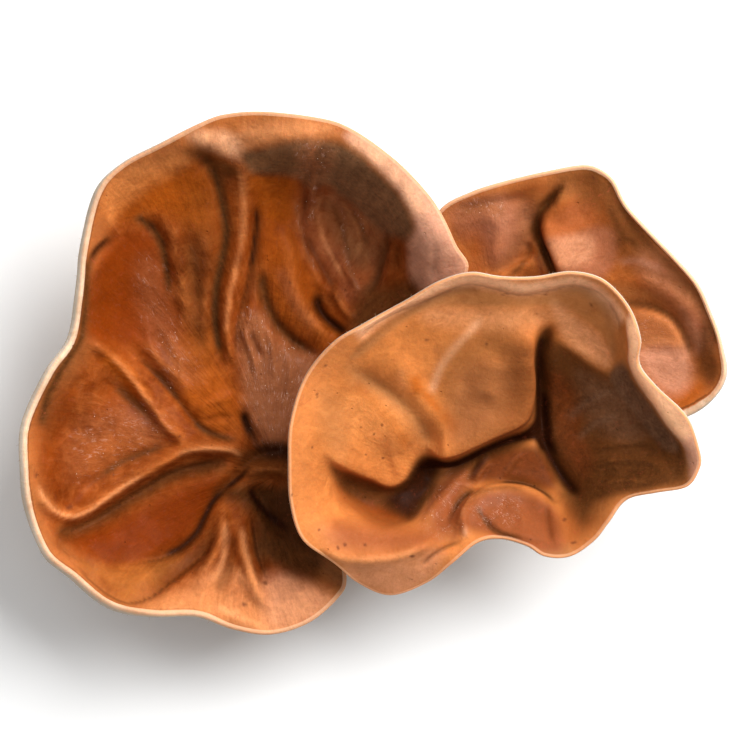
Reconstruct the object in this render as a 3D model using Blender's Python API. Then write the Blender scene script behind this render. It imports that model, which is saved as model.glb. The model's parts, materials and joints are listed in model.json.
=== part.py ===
"""Wood ear mushroom: a cluster of three thin, folded ears on one woody holdfast.

The holdfast is cut off flat and the cluster rests on the cut, with the hollow side of each ear up.
All lengths here are millimetres, and become metres where a mesh is made. X runs along the cluster's
length, Y across it and Z up. The origin is on the cut's plane, under the middle of the cluster.

An ear is made as a round lens, a profile spun about its own axis. The lens is then given its form:
the rim follows a closed curve, the hollow is a sheet bent through a few heights, and each fold is a
ridge or a valley along a route of its own.
"""

import math

import bmesh
import bpy
import numpy as np
from mathutils import Vector, noise

MM = 0.001

# The flesh of an ear: thicker at the heart, thinner at the rim.
FLESH = 2.0
HEART_FLESH = 3.2
RIM_FLESH = 1.5
HEART_RINGS = 0.6
RIM_RINGS = 0.8
RIM_INSET = 1.3
RIDGE_BEHIND = 0.6
VALLEY_BEHIND = 1.0

# How a neck leaves the holdfast: the flat joint, then the funnel up to the ear's underside.
JOINT_RINGS = 0.10
NECK_RINGS = 0.36
NECK_FLARE = 2.2
JOINT_GAP = 0.3

# The holdfast: a low, lumpy dome, cut flat below.
BASE_CENTRE = (2.0, -9.0)
BASE_HALF = (19.0, 15.0, 13.0)
BASE_LUMP = 0.9
BASE_LUMP_SIZE = 6.0
BASE_FINISH = 3
BASE_CREASE = 40.0

# Each ear: the point its folds run to, its rim (x, y, height), the heights of its hollow, its folds
# as (height, width on the left, width on the right, route), its joint (place, direction, radius) and
# the finish of its mesh (points round the rim, rings from the middle out).
EAR_LEFT = {
    "heart": (-19.0, -20.0),
    "turn": 0.0,
    "rim": [
        (19.0, 20.8, 39), (16.6, 26.0, 41), (13.0, 33.6, 43), (7.6, 40.0, 44.5),
        (2.0, 45.0, 45), (-5.0, 49.6, 45), (-11.0, 51.6, 44.5), (-22.0, 52.8, 43),
        (-29.4, 52.4, 42), (-34.4, 50.8, 41), (-43.0, 46.4, 39.5), (-50.6, 42.4, 38),
        (-55.8, 37.0, 37), (-58.6, 27.0, 35), (-60.0, 15.0, 33), (-61.6, 7.0, 32),
        (-66.0, 0.6, 33), (-70.6, -9.8, 34.5), (-70.8, -19.0, 35), (-70.0, -26.8, 34),
        (-66.2, -36.0, 32), (-60.4, -41.0, 30), (-53.6, -46.2, 28.5), (-45.0, -48.4, 27),
        (-35.8, -48.6, 25), (-28.4, -51.2, 22.5), (-20.8, -52.4, 21), (-13.0, -50.0, 20),
        (-7.2, -45.0, 19), (-5.4, -41.0, 18.5), (-7.0, -33.0, 17), (-9.5, -26.0, 15),
        (-9.5, -18.0, 16), (-5.5, -10.5, 19), (-0.5, -3.0, 23), (6.0, 5.0, 28),
        (13.5, 13.0, 33),
    ],
    "hollow": [
        (-19.5, -20.5, 12.5), (-27, -20, 13.5), (-48, -13, 16.5), (-60, -13, 20),
        (-65.5, -12, 24), (-64, -29, 21), (-52, -34, 17), (-40, -36, 16), (-55, -41, 21),
        (-43, -44.5, 23.5), (-28, -36, 17.5), (-24, -44, 20.5), (-15, -44, 19.5), (-14, -34, 15),
        (-46, 20, 21), (-55, 14, 23), (-51, 34, 29), (-42, 40, 32), (-38, 10, 18), (-35, 30, 27),
        (-28, 25, 23), (-28, 10, 18.5), (-27, -6, 15), (-29, 41, 34), (-28, 47, 40),
        (-18, 37, 26), (-10, 35.5, 24), (-3, 32, 23.5), (2, 26, 24), (3, 18, 24),
        (-15.4, 45.2, 41.5), (-6, 43.6, 42.8), (1.4, 38.4, 43.4), (6.8, 32, 43), (11, 25, 40.5),
        (-13, 23, 18), (-3, 20, 19), (-12, 8, 16), (-18, -5, 14),
    ],
    "folds": [
        (2.6, 3.2, 1.7, [(-59, 8), (-53.2, 4.2), (-48.4, -0.6), (-45, -5.6), (-41, -10.4),
                         (-36, -14)]),
        (3.2, 1.5, 1.6, [(-68.5, -17), (-66.6, -25), (-63.8, -27.8), (-61, -28.4), (-58, -27.4),
                         (-54.2, -25), (-49.8, -22), (-46, -19.2), (-42, -16.6), (-38.6, -14.8),
                         (-33.8, -14.6), (-29, -14.8), (-25, -17)]),
        (-1.3, 2.0, 2.0, [(-59, -24), (-52.2, -18.2), (-47.8, -15.8), (-40, -12.6)]),
        (-1.5, 2.2, 2.2, [(-66, -31.5), (-59, -31.8), (-54.2, -28.8), (-48.8, -25), (-43, -21)]),
        (-2.0, 2.4, 1.8, [(-67, -30), (-63.4, -34.8), (-59, -38.4), (-52, -38.6), (-42, -36),
                          (-37.2, -33.2), (-34.4, -29.2), (-33, -26), (-27, -20)]),
        (2.8, 4.6, 1.6, [(-28, -21), (-31.4, -25.8), (-31.4, -29.8), (-33, -34.6), (-37, -40),
                         (-43.4, -45)]),
        (1.6, 1.6, 1.6, [(-27.6, -28), (-26.6, -34.6), (-25.4, -39.4), (-22, -46)]),
        (-1.4, 2.2, 2.2, [(-29.6, -26), (-29.2, -34), (-29, -41)]),
        (-2.4, 2.4, 2.4, [(-24, -24), (-20.6, -31), (-17, -36), (-13.5, -37.5)]),
        (-3.0, 2.6, 2.6, [(-28, -17.5), (-22.5, -20), (-19, -22.5), (-17.5, -27)]),
        (3.0, 1.8, 1.5, [(-27.5, 46), (-27, 37.6), (-26.8, 28), (-27.8, 20.2), (-29.4, 13.4),
                         (-30.2, 8.6), (-29.4, 3.6), (-28, -1)]),
        (-2.2, 1.9, 1.7, [(-36, 43.5), (-31.8, 39), (-30.2, 33.8), (-29.8, 28), (-30.6, 20.6),
                          (-32, 13.4), (-32.2, 7.6), (-30.4, 1.5)]),
        (-2.2, 1.5, 1.7, [(-23.8, 37), (-24, 29.8), (-24.4, 24), (-25.8, 19.2), (-26.4, 13),
                          (-27.6, 3)]),
        (-1.7, 1.6, 2.8, [(-57.5, 21), (-54.6, 26), (-51.8, 29.4), (-47.8, 31.6), (-44.4, 29.4),
                          (-42.2, 26), (-41.2, 22.2), (-41, 15)]),
        (1.4, 2.4, 2.4, [(-39, 31), (-38.6, 25.6), (-38, 19), (-36.4, 11)]),
        (2.4, 2.2, 1.8, [(-20.5, 33), (-19.4, 26.4), (-17.8, 18.8), (-15.2, 11.8), (-10.6, 8),
                         (-4, 6)]),
        (-2.4, 1.5, 2.0, [(-23, 21), (-22.2, 14.5), (-19.4, 9.6), (-15.6, 6.2), (-9, 4)]),
        (-1.5, 1.7, 1.7, [(-13.2, 40), (-13.4, 33), (-12.6, 26)]),
        (2.2, 2.0, 1.6, [(-8.8, 34), (-7.6, 28), (-5.6, 20), (-5.2, 12), (-3, 8)]),
        (-1.9, 1.4, 1.4, [(-10.8, 19), (-10.8, 13), (-7.6, 10), (-4, 8.6)]),
        (-1.5, 1.6, 1.6, [(1, 25), (-1.5, 19), (-2.2, 13)]),
        (1.5, 1.6, 1.6, [(-24.4, 5), (-22.6, -1), (-21.6, -8)]),
        (-2.2, 1.5, 1.5, [(-27, -4), (-25.8, -9), (-23.8, -14), (-20, -18)]),
        (-1.4, 1.6, 1.6, [(-42, 1), (-38, -4.5), (-34, -10), (-27, -13.4)]),
    ],
    "joint": ((-11.2, -13.5, 6.1), (-0.663, -0.362, 0.654), 6.4),
    "finish": (76, 14),
}

EAR_FRONT = {
    "heart": (11.0, -21.5),
    "turn": 0.0,
    "rim": [
        (65.2, -15.5, 39), (62.6, -8.4, 40), (56.4, -2.0, 41.5), (53.2, 2.4, 42.5),
        (53.4, 7.0, 43.5), (51.8, 12.0, 44.5), (48.8, 16.4, 45.5), (44.8, 19.6, 46),
        (39.0, 20.8, 46.5), (32.0, 19.8, 47), (25.0, 19.8, 47), (19.0, 20.6, 47),
        (12.6, 18.8, 46.5), (5.8, 14.8, 45), (-1.8, 10.6, 43.5), (-8.4, 6.8, 41.5),
        (-14.2, -0.2, 39), (-17.2, -9.4, 37.5), (-17.6, -18.0, 36), (-17.2, -26.0, 33.5),
        (-14.8, -33.2, 30.5), (-8.6, -38.0, 27), (-3.4, -42.4, 25), (3.2, -44.8, 24),
        (10.6, -42.2, 24.5),
        (15.8, -38.0, 26.5), (20.4, -34.0, 29), (25.0, -32.9, 30), (30.0, -34.2, 29.5),
        (34.0, -36.6, 28), (39.2, -36.6, 28), (44.0, -33.4, 29.5), (47.0, -29.6, 31),
        (50.4, -25.2, 33), (56.0, -23.8, 35), (62.4, -22.6, 37), (65.0, -19.0, 38),
    ],
    "hollow": [
        (11, -21.5, 17.5), (1, -25.5, 18.5), (-5, -22.5, 21.5), (22, -20, 19), (35, -14, 19.5),
        (39, -22, 20), (36.5, -4, 20.5), (-4, -8, 29.5), (5, -12, 27.5), (-11, -12, 33),
        (-11, -27, 28), (-9, -32, 29.5), (-2, -35, 30), (7, -33.6, 29), (1, -30.5, 25),
        (14, -29, 24.5), (22, -28, 25), (29, -29, 25), (37, -31, 25.5), (43, -28, 27),
        (14, -5, 27.5), (24, -5, 27), (30, 3, 29.5), (18, 8, 34.5), (6, 3, 34), (31, 13.5, 37.5),
        (18, 14.4, 38.5), (4, 9, 38.5), (42, 12, 34.5), (44, -4, 26.5), (48, -12, 27),
        (52, -6.5, 31.5), (56.4, -7, 38.5), (61, -13, 37.5), (56.6, -14, 31), (57, -20, 33.5),
        (47, -22, 28), (48, 2, 33), (50.6, 5, 39),
    ],
    "folds": [
        (4.8, 7.0, 1.2, [(-12, -15.5), (-8.4, -18.6), (-5.6, -20.8), (-1.8, -23.6), (2, -24.6),
                         (5, -22.8), (7.6, -19.4), (10, -17), (13.4, -17.8), (17.2, -16.8),
                         (21, -14.8), (25, -12.4), (28.8, -11.4), (31.6, -9.8), (32.8, -5.6),
                         (32.4, 2), (33.2, 7), (35.4, 13)]),
        (-3.6, 1.4, 2.0, [(-10, -21), (-4, -24.4), (1, -27.2), (5.4, -26.4), (9, -22),
                          (12, -20), (18, -19), (24, -16), (30, -14), (34, -11)]),
        (-3.2, 1.3, 2.4, [(35, 12), (34.2, 6.6), (33.8, 0), (33.8, -8), (35.6, -17), (39.2, -22.6),
                          (43, -27)]),
        (-2.6, 2.2, 2.2, [(-6.4, 4), (-2.6, 0.4), (2, -2.8), (5.8, -7.6), (8.4, -11.8),
                          (9.8, -16), (10, -20)]),
        (2.0, 3.2, 3.2, [(-9, 1), (-5, -4.6), (-0.6, -10), (2.8, -15.4), (3.4, -21), (2, -26)]),
        (1.2, 2.4, 2.4, [(4.6, 4.4), (7.6, 1.2), (9.6, -4), (12.8, -9.6), (17.6, -13), (22, -15)]),
        (1.3, 1.8, 1.8, [(26.4, 14.6), (21.8, 10.8), (17.2, 5.8), (13.4, 0.2), (12, -6),
                         (12.4, -10)]),
        (-1.0, 3.0, 3.0, [(21.6, 7.6), (19.4, 1), (20.6, -6)]),
        (-1.2, 2.2, 2.2, [(29, 13), (27.6, 6), (27.4, -2)]),
        (1.6, 2.4, 2.0, [(34.6, 10.4), (38.4, 7.4), (43.4, 5.2), (48.6, 3.6), (53, 2)]),
        (2.2, 1.1, 2.8, [(16.4, -31), (17.4, -27.4), (19.4, -24.4), (22.4, -22.8), (26.6, -22.2),
                         (31, -23.4), (35, -26.4), (38.6, -31)]),
        (1.0, 1.1, 1.1, [(18.6, -33.4), (18.4, -30), (18.2, -25)]),
        (-1.3, 1.2, 1.2, [(20.4, -26.4), (21.4, -29), (24.4, -31.2), (29, -31.8), (35, -34)]),
        (1.5, 1.5, 1.7, [(-14, -32.6), (-8.2, -36.2), (-2.4, -36.8), (1.4, -36), (7, -34.8),
                         (11, -33.4), (16, -31)]),
        (-1.0, 1.0, 1.0, [(7.6, -39.6), (12.4, -36.6), (16.4, -33.6), (17, -29.4)]),
        (-1.0, 1.4, 1.4, [(42, -15.6), (46.4, -12.8), (51, -12.6), (56.4, -15)]),
        (-1.0, 1.4, 1.4, [(42.6, -20.6), (47.6, -18.4), (54, -18.4), (59, -20)]),
    ],
    "joint": ((7.6, -17.4, 8.3), (0.217, -0.523, 0.824), 5.6),
    "finish": (60, 13),
}

EAR_BACK = {
    "heart": (20.5, 0.0),
    "turn": 0.0,
    "rim": [
        (70.6, 0.0, 27), (69.8, 5.6, 28), (67.6, 11.4, 29), (64.8, 17.8, 29.5), (60.8, 22.6, 30),
        (54.4, 29.4, 30), (50.2, 34.2, 30), (47.8, 39.0, 30), (44.8, 41.6, 30), (41.0, 42.2, 30),
        (33.6, 40.8, 30), (26.0, 39.0, 30), (19.2, 36.8, 29.5), (13.0, 33.4, 29), (9.4, 26.0, 26),
        (9.6, 17.0, 22), (11.0, 9.0, 18), (13.4, 2.6, 15.5), (18.0, -3.5, 13.5),
        (25.0, -6.5, 12.8), (34.0, -8.0, 13), (44.0, -9.4, 14.5), (54.0, -9.8, 18),
        (62.4, -8.6, 22), (68.0, -4.8, 25),
    ],
    "hollow": [
        (20.5, 0, 12), (18, 22, 20), (16, 28, 23), (25, 28, 22), (24, 16, 17),
        (33, 34, 25), (31, 20, 17), (36, 22, 19.5), (44, 33, 25.5), (41, 27, 22.5), (46, 18, 18.5),
        (50.6, 27, 24), (57, 19.5, 22.5), (52, 19, 20), (64, 9.6, 22.5), (57, 12, 19.5),
        (56, 4, 18), (36, 2, 12.6), (50, -3, 15.5), (65.4, 0, 21.5),
    ],
    "folds": [
        (3.8, 5.5, 1.0, [(39, 43), (37.8, 38.6), (36.4, 34.2), (33.8, 30.8), (34, 28),
                         (35.8, 24.6), (37, 20.8), (38, 14), (38, 8)]),
        (-2.2, 1.2, 1.5, [(38, 41), (35.6, 35), (32.4, 30.8), (31.2, 27), (29.8, 23), (28, 15)]),
        (1.2, 0.9, 0.9, [(32.6, 29), (33.4, 25), (34.8, 20.6), (35.4, 14)]),
        (1.6, 0.9, 2.4, [(22.6, 18.4), (26.4, 20.4), (29, 21.6), (31.6, 22)]),
        (1.2, 2.4, 2.4, [(21, 33), (24.2, 25), (24.4, 17)]),
        (-1.8, 2.2, 1.8, [(41, 19), (46, 17.4), (52, 15.8), (58, 14.4), (62.4, 11), (65, 5),
                          (65.6, -2)]),
        (1.8, 2.6, 2.6, [(48, 9), (54, 10.2), (58.6, 8.4), (60.6, 3), (59, -3)]),
        (-1.0, 2.6, 2.6, [(47.6, 37), (46.4, 30), (46, 22)]),
    ],
    "joint": ((14.0, -4.0, 6.9), (0.581, 0.389, 0.715), 5.6),
    "finish": (42, 9),
}

# The lens before it is given its form: where its round rim lies.
RIM_REACH = 1.01
RIM_ROUND = (0.6, -0.6)

# How the rings of an ear run from the rim's outline to the heart.
NEAR_HEART = 0.9
HEART_PULL = 1.4
WAVE_FADE = 0.75
SLOPE_STEP = 0.05

# How a fold follows its route. A fold too narrow for the mesh is made wider and flatter.
ROUTE_STEPS = 5
FOLD_LEAST = 3.2
FOLD_TAPER = 0.3
NEAR_MIX = 0.12
NEAR_LEAST = 0.04


def soft(share):
    """From 0 to 1 with no corner at either end."""
    share = np.clip(share, 0, 1)
    return share * share * (3 - 2 * share)


def curve_through(points, steps, closed=False):
    """A smooth curve through the points, with so many steps between each two."""
    at = np.array(points, float)
    if closed:
        at = np.vstack([at[-1], at, at[:2]])
    else:
        at = np.vstack([2 * at[0] - at[1], at, 2 * at[-1] - at[-2]])
    share = np.arange(steps) / steps
    share = share[:, None]
    pieces = []
    for before, start, end, after in zip(at[:-3], at[1:-2], at[2:-1], at[3:]):
        bend = 2 * before - 5 * start + 4 * end - after
        twist = 3 * start - before - 3 * end + after
        pieces.append(start + 0.5 * share * ((end - before) + share * (bend + share * twist)))
    if not closed:
        pieces.append(at[-2:-1])
    return np.vstack(pieces)


def rim_points(curve, heart, count):
    """So many points round a closed curve, closer together where it passes near the heart."""
    ring = np.vstack([curve, curve[:1]])
    step = np.linalg.norm(np.diff(ring, axis=0), axis=1)
    far = np.linalg.norm((ring[1:] + ring[:-1])[:, :2] / 2 - heart, axis=1)
    reach = np.concatenate([[0], np.cumsum(step / far ** NEAR_HEART)])
    wanted = np.arange(count) * reach[-1] / count
    return np.column_stack([np.interp(wanted, reach, ring[:, axis]) for axis in range(3)])


def bent_sheet(marks):
    """The height, as a function of x and y, of a thin sheet bent through the marks."""
    at = np.array(marks, float)
    places = at[:, :2]

    def pull(x, y):
        far = (x[..., None] - places[:, 0]) ** 2 + (y[..., None] - places[:, 1]) ** 2
        return 0.5 * far * np.log(far + 1e-9)

    count = len(at)
    flat = np.column_stack([np.ones(count), places])
    system = np.block([[pull(places[:, 0], places[:, 1]), flat], [flat.T, np.zeros((3, 3))]])
    weights = np.linalg.solve(system, np.concatenate([at[:, 2], np.zeros(3)]))
    bend, level = weights[:count], weights[count:]
    return lambda x, y: pull(x, y) @ bend + level[0] + level[1] * x + level[2] * y


def fold_height(folds, x, y, behind=False):
    """How far the folds lift the sheet at each point: ridges up, valleys down.

    Behind, on the underside, a ridge is a shallower hollow and a valley is a wider swelling.
    """
    total = np.zeros_like(x)
    for height, left, right, route in folds:
        if behind and height > 0:
            height *= RIDGE_BEHIND
        elif behind:
            left, right = left + VALLEY_BEHIND, right + VALLEY_BEHIND
        line = curve_through(route, ROUTE_STEPS)
        start, run = line[:-1], np.diff(line, axis=0)
        from_x, from_y = x[:, None] - start[:, 0], y[:, None] - start[:, 1]
        along = (from_x * run[:, 0] + from_y * run[:, 1]) / (run ** 2).sum(axis=1)
        along = np.clip(along, 0, 1)
        off_x, off_y = from_x - along * run[:, 0], from_y - along * run[:, 1]
        apart = np.hypot(off_x, off_y)
        nearest = apart.min(axis=1)[:, None]
        near = np.exp((nearest - apart) / (NEAR_MIX * nearest + NEAR_LEAST))
        near /= near.sum(axis=1)[:, None]
        share = (near * (np.arange(len(run)) + along) / len(run)).sum(axis=1)
        side = (near * np.sign(run[:, 0] * off_y - run[:, 1] * off_x)).sum(axis=1)
        width = (left + right) / 2 + (left - right) / 2 * side
        wide = np.maximum(width, FOLD_LEAST)
        ends = soft(np.minimum(share, 1 - share) / FOLD_TAPER)
        total += height * ends * width / wide * np.exp(-(((near * apart).sum(axis=1) / wide) ** 2))
    return total


class Ear:
    """The form of one ear: where each point of the round lens goes."""

    def __init__(self, design, around):
        rim = curve_through(design["rim"], ROUTE_STEPS * 2, closed=True)
        start = np.arctan2(rim[:, 1] - design["heart"][1], rim[:, 0] - design["heart"][0])
        rim = np.roll(rim, -int(np.argmin(np.abs(start - design["turn"]))), axis=0)
        self.around = around
        self.heart = np.array(design["heart"])
        self.rim = rim_points(rim, self.heart, around)
        self.folds = design["folds"]
        self.sheet = bent_sheet(list(design["rim"][::2]) + design["hollow"])
        self.joint, self.joint_way, self.joint_radius = design["joint"]
        run = np.roll(self.rim, -1, axis=0)[:, :2] - np.roll(self.rim, 1, axis=0)[:, :2]
        run /= np.linalg.norm(run, axis=1)[:, None]
        self.out = np.column_stack([run[:, 1], -run[:, 0]])
        self.edge = self.rim[:, :2] - RIM_INSET * self.out

    def flat(self, ring, spoke):
        """Where a point of the lens lies, seen from above.

        Each ring is the rim with its waves faded, so the rings turn round towards the heart.
        """
        waves = np.fft.fft(self.edge @ (1, 1j))
        count = np.abs(np.fft.fftfreq(self.around, 1 / self.around)) ** WAVE_FADE
        rings, which = np.unique(ring, return_inverse=True)
        round_rings = np.fft.ifft(waves * rings[:, None] ** count, axis=1)
        middle = waves[0] / self.around
        round_rings += (self.heart @ (1, 1j) - middle) * ((1 - rings) ** HEART_PULL)[:, None]
        place = round_rings[which, spoke]
        return np.column_stack([place.real, place.imag])

    def way_up(self, x, y):
        """The direction square to the smooth sheet."""
        step = SLOPE_STEP
        slope_x = (self.sheet(x + step, y) - self.sheet(x - step, y)) / (2 * step)
        slope_y = (self.sheet(x, y + step) - self.sheet(x, y - step)) / (2 * step)
        way = np.column_stack([-slope_x, -slope_y, np.ones_like(x)])
        return way / np.linalg.norm(way, axis=1)[:, None]

    def skins(self, ring, spoke):
        """The upper and the lower skin of the ear at the same places of the lens."""
        place = self.flat(ring, spoke)
        x, y = place[:, 0], place[:, 1]
        bed = np.column_stack([x, y, self.sheet(x, y)])
        way = self.way_up(x, y)
        upper = bed + way * fold_height(self.folds, x, y)[:, None]
        near_heart = soft(1 - ring / HEART_RINGS)[:, None]
        near_rim = soft((ring - RIM_RINGS) / (1 - RIM_RINGS))[:, None]
        flesh = FLESH + (HEART_FLESH - FLESH) * near_heart + (RIM_FLESH - FLESH) * near_rim
        lower = bed + way * (fold_height(self.folds, x, y, behind=True)[:, None] - flesh)
        return upper, self.with_neck(lower, ring, spoke)

    def with_neck(self, lower, ring, spoke):
        """The lower skin drawn down in a funnel to the flat joint on the holdfast."""
        way = Vector(self.joint_way).normalized()
        side = way.cross(Vector((0, 0, 1))).normalized()
        up = side.cross(way)
        turn = spoke * math.tau / self.around
        across = np.column_stack([np.cos(turn), np.sin(turn)])
        flat_side = np.array(side)
        flat_up = np.array(up)
        reach = self.joint_radius * np.clip(ring / JOINT_RINGS, 0, 1)[:, None]
        along_side = (across @ flat_side[:2] / np.linalg.norm(flat_side[:2]))[:, None]
        along_up = (across @ flat_up[:2] / np.linalg.norm(flat_up[:2]))[:, None]
        disc = np.array(self.joint) + reach * (along_side * flat_side + along_up * flat_up)
        share = np.clip((ring - JOINT_RINGS) / (NECK_RINGS - JOINT_RINGS), 0, 1)[:, None]
        return lower + (disc - lower) * (1 - share) ** NECK_FLARE

    def form(self, lens):
        """Where each point of the lens goes, from its radius, its turn and its side."""
        radius = np.hypot(lens[:, 0], lens[:, 1])
        spoke = np.rint(np.arctan2(lens[:, 1], lens[:, 0]) / math.tau * self.around).astype(int)
        spoke = spoke % self.around
        ring = np.clip(radius, 0, 1)
        upper, lower = self.skins(ring, spoke)
        side = np.clip(lens[:, 2], -1, 1)[:, None]
        middle, half = (upper + lower) / 2, (upper - lower) / 2
        out = np.column_stack([self.out[spoke], np.zeros(len(lens))])
        square = half / np.linalg.norm(half, axis=1)[:, None]
        out -= square * (out * square).sum(axis=1)[:, None]
        bulge = RIM_FLESH / 2 * np.sqrt(np.clip(1 - side * side, 0, 1))
        bulge = np.where((radius > (1 + RIM_REACH) / 2)[:, None], bulge, 0)
        return middle + half * side + out * bulge


def new_material(name, colour, roughness):
    """A plain finish."""
    material = bpy.data.materials.new(name)
    material.use_nodes = True
    shader = material.node_tree.nodes["Principled BSDF"]
    shader.inputs["Base Color"].default_value = (*colour, 1)
    shader.inputs["Roughness"].default_value = roughness
    material.diffuse_color = (*colour, 1)
    return material


def add_object(name, shape, collection, parent, material):
    """Puts a finished mesh into the scene under its name."""
    mesh = bpy.data.meshes.new(name)
    shape.to_mesh(mesh)
    shape.free()
    mesh.materials.append(material)
    mesh.shade_smooth()
    piece = bpy.data.objects.new(name, mesh)
    collection.objects.link(piece)
    piece.parent = parent
    return piece


def round_lens(around, rings):
    """A closed lens of radius 1, spun from one spoke: sides at heights 1 and -1, and a round rim."""
    shape = bmesh.new()
    radii = [index / rings for index in range(rings + 1)]
    profile = [(radius, 1) for radius in radii]
    profile += [(RIM_REACH, side) for side in RIM_ROUND]
    profile += [(radius, -1) for radius in reversed(radii)]
    spoke = [shape.verts.new((radius, 0, side)) for radius, side in profile]
    edges = [shape.edges.new(pair) for pair in zip(spoke, spoke[1:])]
    bmesh.ops.spin(
        shape, geom=spoke + edges, cent=(0, 0, 0), axis=(0, 0, 1), angle=math.tau, steps=around,
        use_merge=True,
    )
    bmesh.ops.remove_doubles(shape, verts=shape.verts, dist=1e-5)
    bmesh.ops.recalc_face_normals(shape, faces=shape.faces)
    return shape


def ear_shape(design, around, rings):
    """One ear as a closed mesh, in metres."""
    shape = round_lens(around, rings)
    lens = np.array([vertex.co for vertex in shape.verts])
    placed = Ear(design, around).form(lens)
    for vertex, place in zip(shape.verts, placed):
        vertex.co = Vector(place) * MM
    bmesh.ops.triangulate(shape, faces=shape.faces, quad_method="SHORT_EDGE")
    bmesh.ops.recalc_face_normals(shape, faces=shape.faces)
    return shape


def cut_flat(shape, point, way):
    """Takes off what lies beyond a plane and closes the cut with one flat face."""
    everything = list(shape.verts) + list(shape.edges) + list(shape.faces)
    cut = bmesh.ops.bisect_plane(
        shape, geom=everything, plane_co=point, plane_no=way, clear_outer=True
    )
    edges = [item for item in cut["geom_cut"] if isinstance(item, bmesh.types.BMEdge)]
    bmesh.ops.contextual_create(shape, geom=edges)


def base_shape(joints):
    """The holdfast: a lumpy dome with a flat cut below and a flat facet under each ear's neck."""
    shape = bmesh.new()
    bmesh.ops.create_icosphere(shape, subdivisions=BASE_FINISH, radius=1)
    half, middle = Vector(BASE_HALF), Vector((*BASE_CENTRE, 0))
    for vertex in shape.verts:
        way = vertex.co.normalized()
        place = Vector(a * b for a, b in zip(way, half))
        lump = BASE_LUMP * noise.noise(place / BASE_LUMP_SIZE)
        vertex.co = (middle + place + way * lump) * MM
    cut_flat(shape, Vector((0, 0, 0)), Vector((0, 0, -1)))
    for place, way, _radius in joints:
        way = Vector(way).normalized()
        cut_flat(shape, (Vector(place) - way * JOINT_GAP) * MM, way)
    bmesh.ops.triangulate(shape, faces=[face for face in shape.faces if len(face.verts) > 3])
    bmesh.ops.recalc_face_normals(shape, faces=shape.faces)
    return shape


def main():
    for leftover in list(bpy.data.objects):
        bpy.data.objects.remove(leftover, do_unlink=True)
    collection = bpy.data.collections.new("wood_ear_mushroom")
    bpy.context.scene.collection.children.link(collection)
    cluster = bpy.data.objects.new("cluster", None)
    collection.objects.link(cluster)

    ears = {"ear_left": EAR_LEFT, "ear_front": EAR_FRONT, "ear_back": EAR_BACK}
    tints = {
        "ear_left": (0.43, 0.12, 0.035),
        "ear_front": (0.60, 0.23, 0.075),
        "ear_back": (0.50, 0.18, 0.075),
    }
    for name, design in ears.items():
        flesh = new_material(name + "_flesh", tints[name], 0.42)
        add_object(name, ear_shape(design, *design["finish"]), collection, cluster, flesh)
    bark = new_material("base_bark", (0.16, 0.085, 0.045), 0.8)
    joints = [design["joint"] for design in ears.values()]
    base = add_object("base", base_shape(joints), collection, cluster, bark)
    base.data.set_sharp_from_angle(angle=math.radians(BASE_CREASE))


main()
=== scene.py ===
"""Wood ear mushroom: the looks of a cluster of three folded ears on one holdfast.

The ears keep the form of the solids and add what is too fine for them: small folds, wrinkles, the
rim's bead, the flesh's colours with painted shade and painted highlights, frosty grains in the
hollows and down on the outer sides.
All lengths in the tables are millimetres, and become metres where a mesh is made.
"""

import json
import math

import bmesh
import bpy
import numpy as np
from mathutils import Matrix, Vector, kdtree, noise

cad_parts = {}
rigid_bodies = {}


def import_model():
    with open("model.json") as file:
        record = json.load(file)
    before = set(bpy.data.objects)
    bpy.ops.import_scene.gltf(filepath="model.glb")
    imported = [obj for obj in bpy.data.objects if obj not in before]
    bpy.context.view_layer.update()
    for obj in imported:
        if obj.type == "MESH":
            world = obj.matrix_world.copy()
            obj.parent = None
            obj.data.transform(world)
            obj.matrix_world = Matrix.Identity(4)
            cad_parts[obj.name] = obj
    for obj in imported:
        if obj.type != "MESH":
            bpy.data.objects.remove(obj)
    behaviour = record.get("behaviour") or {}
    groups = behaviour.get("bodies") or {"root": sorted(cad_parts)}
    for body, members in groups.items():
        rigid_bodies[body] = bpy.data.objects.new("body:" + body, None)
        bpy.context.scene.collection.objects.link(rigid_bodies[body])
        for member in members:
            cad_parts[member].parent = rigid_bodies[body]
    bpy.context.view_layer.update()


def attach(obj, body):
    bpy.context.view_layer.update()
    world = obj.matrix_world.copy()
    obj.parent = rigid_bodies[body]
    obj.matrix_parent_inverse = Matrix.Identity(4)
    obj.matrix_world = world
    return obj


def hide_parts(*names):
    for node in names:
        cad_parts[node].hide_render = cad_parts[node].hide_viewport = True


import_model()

bl_info = {
    "name": "Wood ear mushroom",
    "version": (1, 0, 0),
    "blender": (4, 5, 0),
    "location": "3D View > Sidebar > Wood ear",
    "description": "Makes a cluster of wood ear mushrooms and the stage it is shown on",
    "category": "Object",
}

MM = 0.001

# The flesh of an ear, as in the solids: thicker at the heart, thinner at the rim. Behind a ridge the
# outer side rises less, and behind a valley it swells wider.
HEART_FLESH = 3.2
HEART_RINGS = 0.6
RIM_RINGS = 0.8
RIM_MARGIN = 0.35
RIDGE_BEHIND = 0.6
VALLEY_BEHIND = 1.0

# How a neck leaves the holdfast. It is sunk a little into it, so that the two look grown together.
JOINT_RINGS = 0.10
NECK_RINGS = 0.36
NECK_FLARE = 2.2
JOINT_SUNK = 1.0
JOINT_WIDER = 1.12

# The holdfast: a low, lumpy dome, cut flat below.
BASE_CENTRE = (2.0, -9.0)
BASE_HALF = (19.0, 15.0, 13.0)

# How the rings of an ear run from the rim's outline to the heart.
NEAR_HEART = 0.9
HEART_PULL = 1.4
WAVE_FADE = 0.75
SLOPE_STEP = 0.05

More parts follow.
